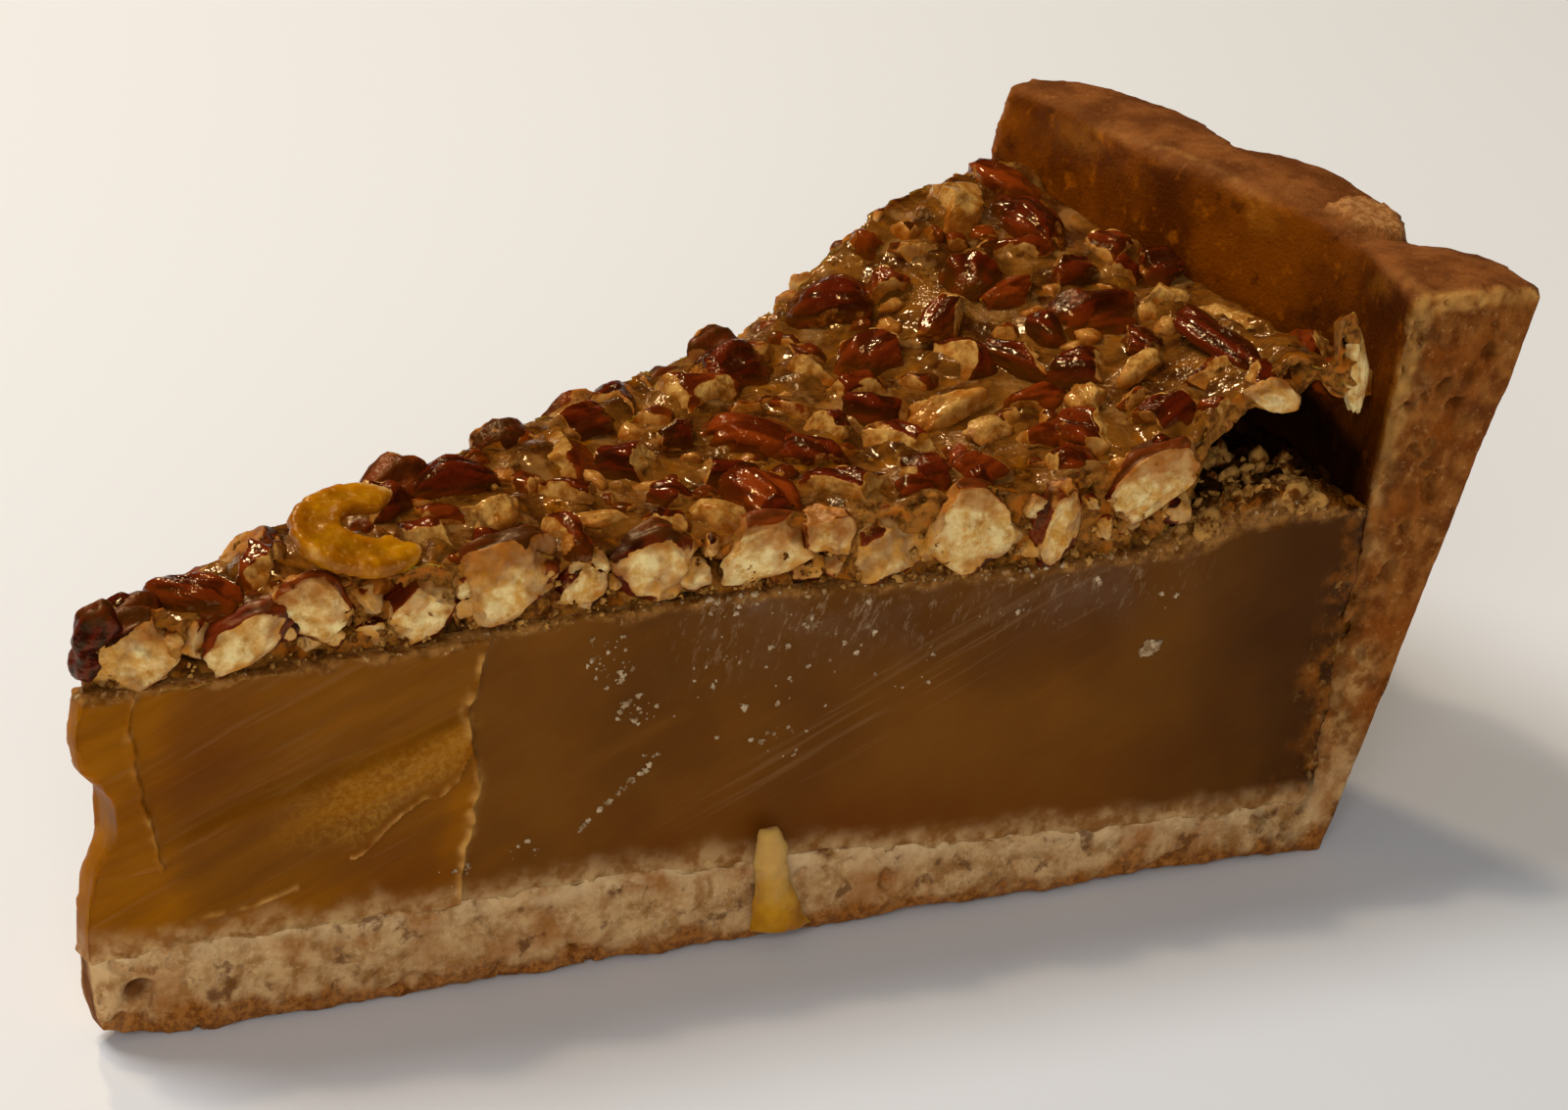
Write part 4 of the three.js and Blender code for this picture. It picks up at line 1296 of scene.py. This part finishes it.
def make_glaze():
    body = softened_copy("pecan_topping", "nut_glaze", voxel=0.5, passes=9)

    def cut(co, normal):
        side = nearer_cut(co)
        facing = smoothstep(normal.dot(CUT_NORMALS[side]), 0.1, 0.5)
        below = smoothstep(-normal.z, 0.1, 0.5)
        return max(facing * smoothstep(outside(co, side), -2.6, -1.4), below)

    def voids(co):
        return smoothstep(wobble(co / MM, 2.4, 3, 6), 0.24, 0.5)

    def pocket(co):
        radius, across, height = pie_terms(co)
        return over_hollow(radius, across)

    def ripple(co, normal):
        point = co / MM
        radius, across, height = pie_terms(co)
        side = nearer_cut(co)
        out = outside(co, side)
        facing = smoothstep(normal.dot(CUT_NORMALS[side]), 0.2, 0.6)
        at_side = smoothstep(out, -2.2, -0.8)
        lumps = 0.4 * wobble(point, 2.6, 4) + 0.25 * wobble(point, 0.9, 2, 3)
        flow = 0.2 * wobble(point, 2.4, 4, 8)
        move = normal * lerp(flow, lumps - VOID_DEPTH * voids(co), at_side * facing)
        set_back = GLAZE_SET_BACK + max(out, 0)
        move -= CUT_NORMALS[side] * at_side * facing * set_back * (1 - 0.6 * pocket(co))
        above = height - glaze_top(radius, across)
        # between the nuts the top sinks, most of all at the far cut
        if normal.z > 0.1 and above > 0:
            at_far_cut = smoothstep(outside(co, 1), -4, -1.5)
            move.z -= lerp(0.34, 0.85, at_far_cut) * above * (1 - pocket(co))
        move.z += heaved(radius, across) * smoothstep(above, -7, -1.5)
        to_wall = GLAZE_TO_WALL * smoothstep(radius, 103.5, 107.5) * smoothstep(across, -0.5, -0.2)
        move += outward(across) * to_wall * smoothstep(above, -4, -1)
        if normal.z < -0.2:
            move.z -= 0.75 * smoothstep(out, -3, -1.5) * (1 - pocket(co))
            move.z += 0.25 * pocket(co) * (1 + wobble(point, 2, 3, 4))
        return move + broken_back(co)

    # Painted shade: the roof of the hollow, and the voids in the glaze at the cuts.
    def dark(co, normal):
        roof = smoothstep(-normal.z, 0, 0.4)
        hollow = 0.95 * pocket(co) * roof * smoothstep(-0.8 - outside(co, -1), 0, 2)
        return max(hollow, 0.85 * cut(co, normal) * voids(co))

    paint(body, cut=cut, dark=dark)
    reshape(body, ripple)
    finish_piece(body, glaze(), "pecan_topping")


# ---- Scraps and crumbs ----

def make_scraps():
    curl = softened_copy("glaze_curl", "glaze_curl_soft", voxel=0.22, passes=16)
    low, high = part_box("glaze_curl")
    middle = (low + high) / 2

    def rim_sugar(co, normal):
        reach = math.hypot(co.x - middle.x, co.y - middle.y) / MM
        return 0.7 * smoothstep(reach + 0.5 * wobble(co / MM, 0.8), 4.9, 5.4)

    paint(curl, sugar=rim_sugar)
    knee = lerp(low.z, high.z, 0.55)

    def pressed(co, normal):
        """The curl lies flat, with a broad top and a rounded side."""
        uneven = normal * (0.25 + 0.2 * wobble(co / MM, 2.4, 3) + 0.1 * wobble(co / MM, 0.8, 2))
        return uneven - Vector((0, 0, 0.4 * max(0, (co.z - knee) / MM)))

    reshape(curl, pressed)
    finish = amber_glaze("amber_curl", deep=srgb(146, 84, 0), light=srgb(186, 122, 0))
    finish_piece(curl, finish, "glaze_curl")
    drop = softened_copy("filling_drop", "filling_drop_soft", voxel=0.22, passes=10)

    # Painted light: the drop is paler towards its top.
    def painted_top_light(co, normal):
        return 0.9 * smoothstep(co.z / MM + 1.5 * wobble(co / MM, 2), 4, 8)

    def drip(co, normal):
        sway = Vector((0.7 * wobble((0, 0, co.z / MM), 4, 2), 0, 0))
        return normal * (0.1 + 0.35 * wobble(co / MM, 2.6, 3)) + sway

    paint(drop, sugar=painted_top_light)
    reshape(drop, drip)
    finish = amber_glaze("amber_drop", deep=srgb(170, 108, 6), light=srgb(208, 150, 26))
    finish_piece(drop, finish, "filling_drop")


def scatter(name, material, spots, flat=0.0):
    """Small crumbs, each a lumpy pebble, at (point in metres, size in millimetres).

    flat is how far they are pressed against the near cut.
    """
    parts = []
    out = CUT_NORMALS[-1]
    for number, (spot, size) in enumerate(spots):
        bm = bmesh.new()
        shift = Vector((number * 0.37, number * 0.11, number * 0.73))
        for vertex in bmesh.ops.create_icosphere(bm, subdivisions=2, radius=1)["verts"]:
            grown = vertex.co * (1 + 1.3 * noise.noise(vertex.co * 1.3 + shift))
            grown -= out * flat * grown.dot(out)
            vertex.co = spot + grown * 0.5 * size * MM
        parts.append(set_apart(bm))
    finish_piece(joined(name, parts), material, None)


# radius, height, reach and number of the pale specks stuck to the near cut
DUST_CLUSTERS = [
    (42.6, 26.6, 1.7, 34),
    (44.8, 22.8, 1.5, 24),
    (42.5, 29, 1.4, 10),
    (46.3, 18.6, 0.7, 5),
    (53.5, 29, 5, 26),
    (55, 25.5, 7, 30),
    (57.6, 18.2, 2, 14),
    (57.2, 22.6, 1.4, 4),
    (68, 28, 7, 22),
    (79, 29, 5, 18),
    (89.6, 26.4, 1.2, 5),
    (36, 11.5, 1.2, 8),
    (30, 10.5, 1.5, 8),
]
# A short trail of specks and one white lump there: radius and height.
DUST_TRAIL = [(40.4, 12.8), (43.2, 15.4), (46.2, 17.8)]
WHITE_LUMP = (89.4, 21.8)
CRUMB_SEED = 77
SEAM_CRUMBS = 900
HOLLOW_CRUMBS = 100
TRAIL_SPECKS = 34
LUMP_SPECKS = 9


def on_near_face(radius, height):
    """The point on the near cut's relief at a radius and height."""
    return on_cut(radius, -1, height, near_relief(radius, height))


def make_crumbs():
    draw = draw_from(CRUMB_SEED)
    seam = []
    for _ in range(SEAM_CRUMBS):
        side = -1 if next(draw) < 0.6 else 1
        radius = 3 + 103 * next(draw)
        lift = next(draw)
        size = 0.2 + 0.6 * next(draw) ** 3
        out = -0.1 - 0.35 * next(draw)
        low = filling_top(radius, side) - 0.5
        high = glaze_top(radius, side) - 1.4
        if radius < 89 or side > 0:
            seam.append((on_cut(radius, side, lerp(low, high, lift ** 1.6), out), size))
    for _ in range(HOLLOW_CRUMBS):
        radius = 89 + 16 * next(draw)
        depth = 0.4 + 9 * next(draw) ** 1.6
        size = 0.5 + 1.9 * next(draw) ** 2
        height = filling_top(radius, -1) - 0.4 - 0.25 * size + 0.5 * next(draw)
        seam.append((on_cut(radius, -1, height, -depth), size))
    finish = crumb_finish("nut_crumb", dark=srgb(96, 48, 8), pale=srgb(196, 142, 70))
    scatter("nut_crumbs", finish, seam)
    dust = []
    for radius, height, spread, count in DUST_CLUSTERS:
        for _ in range(count):
            reach = spread * math.sqrt(next(draw))
            turn = 6.28 * next(draw)
            along = radius + reach * math.cos(turn) * 1.2
            up = min(height + reach * math.sin(turn), filling_top(along, -1) - 0.2)
            size = 0.12 + 0.42 * next(draw) ** 2.4
            dust.append((on_near_face(along, up), size))
    for _ in range(TRAIL_SPECKS):
        along = lerp(DUST_TRAIL[0][0], DUST_TRAIL[-1][0], next(draw))
        up = follow(DUST_TRAIL, along) + 0.5 * (next(draw) - 0.5)
        dust.append((on_near_face(along, up), 0.15 + 0.35 * next(draw)))
    for _ in range(LUMP_SPECKS):
        along = WHITE_LUMP[0] + 1.6 * (next(draw) - 0.5)
        up = WHITE_LUMP[1] + 0.9 * (next(draw) - 0.5)
        dust.append((on_near_face(along, up), 0.6 + 0.5 * next(draw)))
    finish = crumb_finish("nut_dust", dark=srgb(146, 112, 74), pale=srgb(206, 178, 138))
    scatter("nut_dust", finish, dust, flat=0.6)


# ---- Stage, light and camera ----

def make_stage():
    bm = bmesh.new()
    bmesh.ops.create_grid(bm, x_segments=1, y_segments=1, size=3)
    floor = piece_from("floor", bm)
    finish = Finish("pale_floor", Roughness=0.9, Base_Color=(0.86, 0.86, 0.86, 1))
    floor.data.materials.append(finish.material)
    world = bpy.data.worlds.new("studio")
    world.use_nodes = True
    sky = world.node_tree.nodes["Background"]
    sky.inputs["Color"].default_value = (1, 1, 1, 1)
    sky.inputs["Strength"].default_value = 0.16
    world.cycles_visibility.glossy = False
    bpy.context.scene.world = world


def area_light(name, place, target, size, power, mirrored=None):
    """A round lamp. Only those given a mirrored colour show in the glaze, so that its gloss stays crisp."""
    light = bpy.data.lights.new(name, "AREA")
    light.shape = "DISK"
    light.size = size
    light.energy = power
    lamp = bpy.data.objects.new(name, light)
    bpy.context.scene.collection.objects.link(lamp)
    lamp.location = place
    lamp.rotation_euler = (Vector(place) - Vector(target)).to_track_quat("Z", "Y").to_euler()
    lamp.visible_glossy = mirrored is not None
    if mirrored:
        light.color = mirrored


# The colour of the two small lamps that the glaze mirrors.
WARM = (1, 0.8, 0.52)


def make_lights():
    middle = (0, 0, 0.03)
    area_light("overhead", (-0.25, 0.35, 0.75), middle, 0.35, 3.5)
    area_light("back_glint", (0.08, 0.6, 0.55), middle, 0.05, 1.5, mirrored=WARM)
    area_light("top_glint", (-0.12, 0.22, 0.7), middle, 0.05, 0.7, mirrored=WARM)
    area_light("front_fill", (-0.5, -0.6, 0.45), middle, 0.5, 2.4)


# Millimetres, degrees, and a lens in millimetres for a 36 mm sensor.
CAMERA_PLACE = Vector((-193.93, -255.81, 182.14)) * MM
CAMERA_YAW = -37.70
CAMERA_PITCH = 25.81
CAMERA_ROLL = 3.50
CAMERA_LENS = 101.25


def make_camera():
    yaw, pitch, roll = map(math.radians, (CAMERA_YAW, CAMERA_PITCH, CAMERA_ROLL))
    back = Vector((math.sin(yaw) * math.cos(pitch), -math.cos(yaw) * math.cos(pitch), math.sin(pitch)))
    level = Vector((math.cos(yaw), math.sin(yaw), 0))
    above = back.cross(level)
    right = math.cos(roll) * level + math.sin(roll) * above
    up = math.cos(roll) * above - math.sin(roll) * level
    data = bpy.data.cameras.new("camera")
    data.lens = CAMERA_LENS
    data.sensor_width = 36
    data.clip_start = 0.01
    camera = bpy.data.objects.new("camera", data)
    bpy.context.scene.collection.objects.link(camera)
    turn = Matrix((right, up, back)).transposed().to_4x4()
    camera.matrix_world = Matrix.Translation(CAMERA_PLACE) @ turn
    bpy.context.scene.camera = camera
    bpy.context.scene.view_settings.view_transform = "Standard"


make_crust()
make_filling()
make_glaze()
make_top_nuts()
make_cut_nuts()
make_scraps()
make_crumbs()
make_stage()
make_lights()
make_camera()
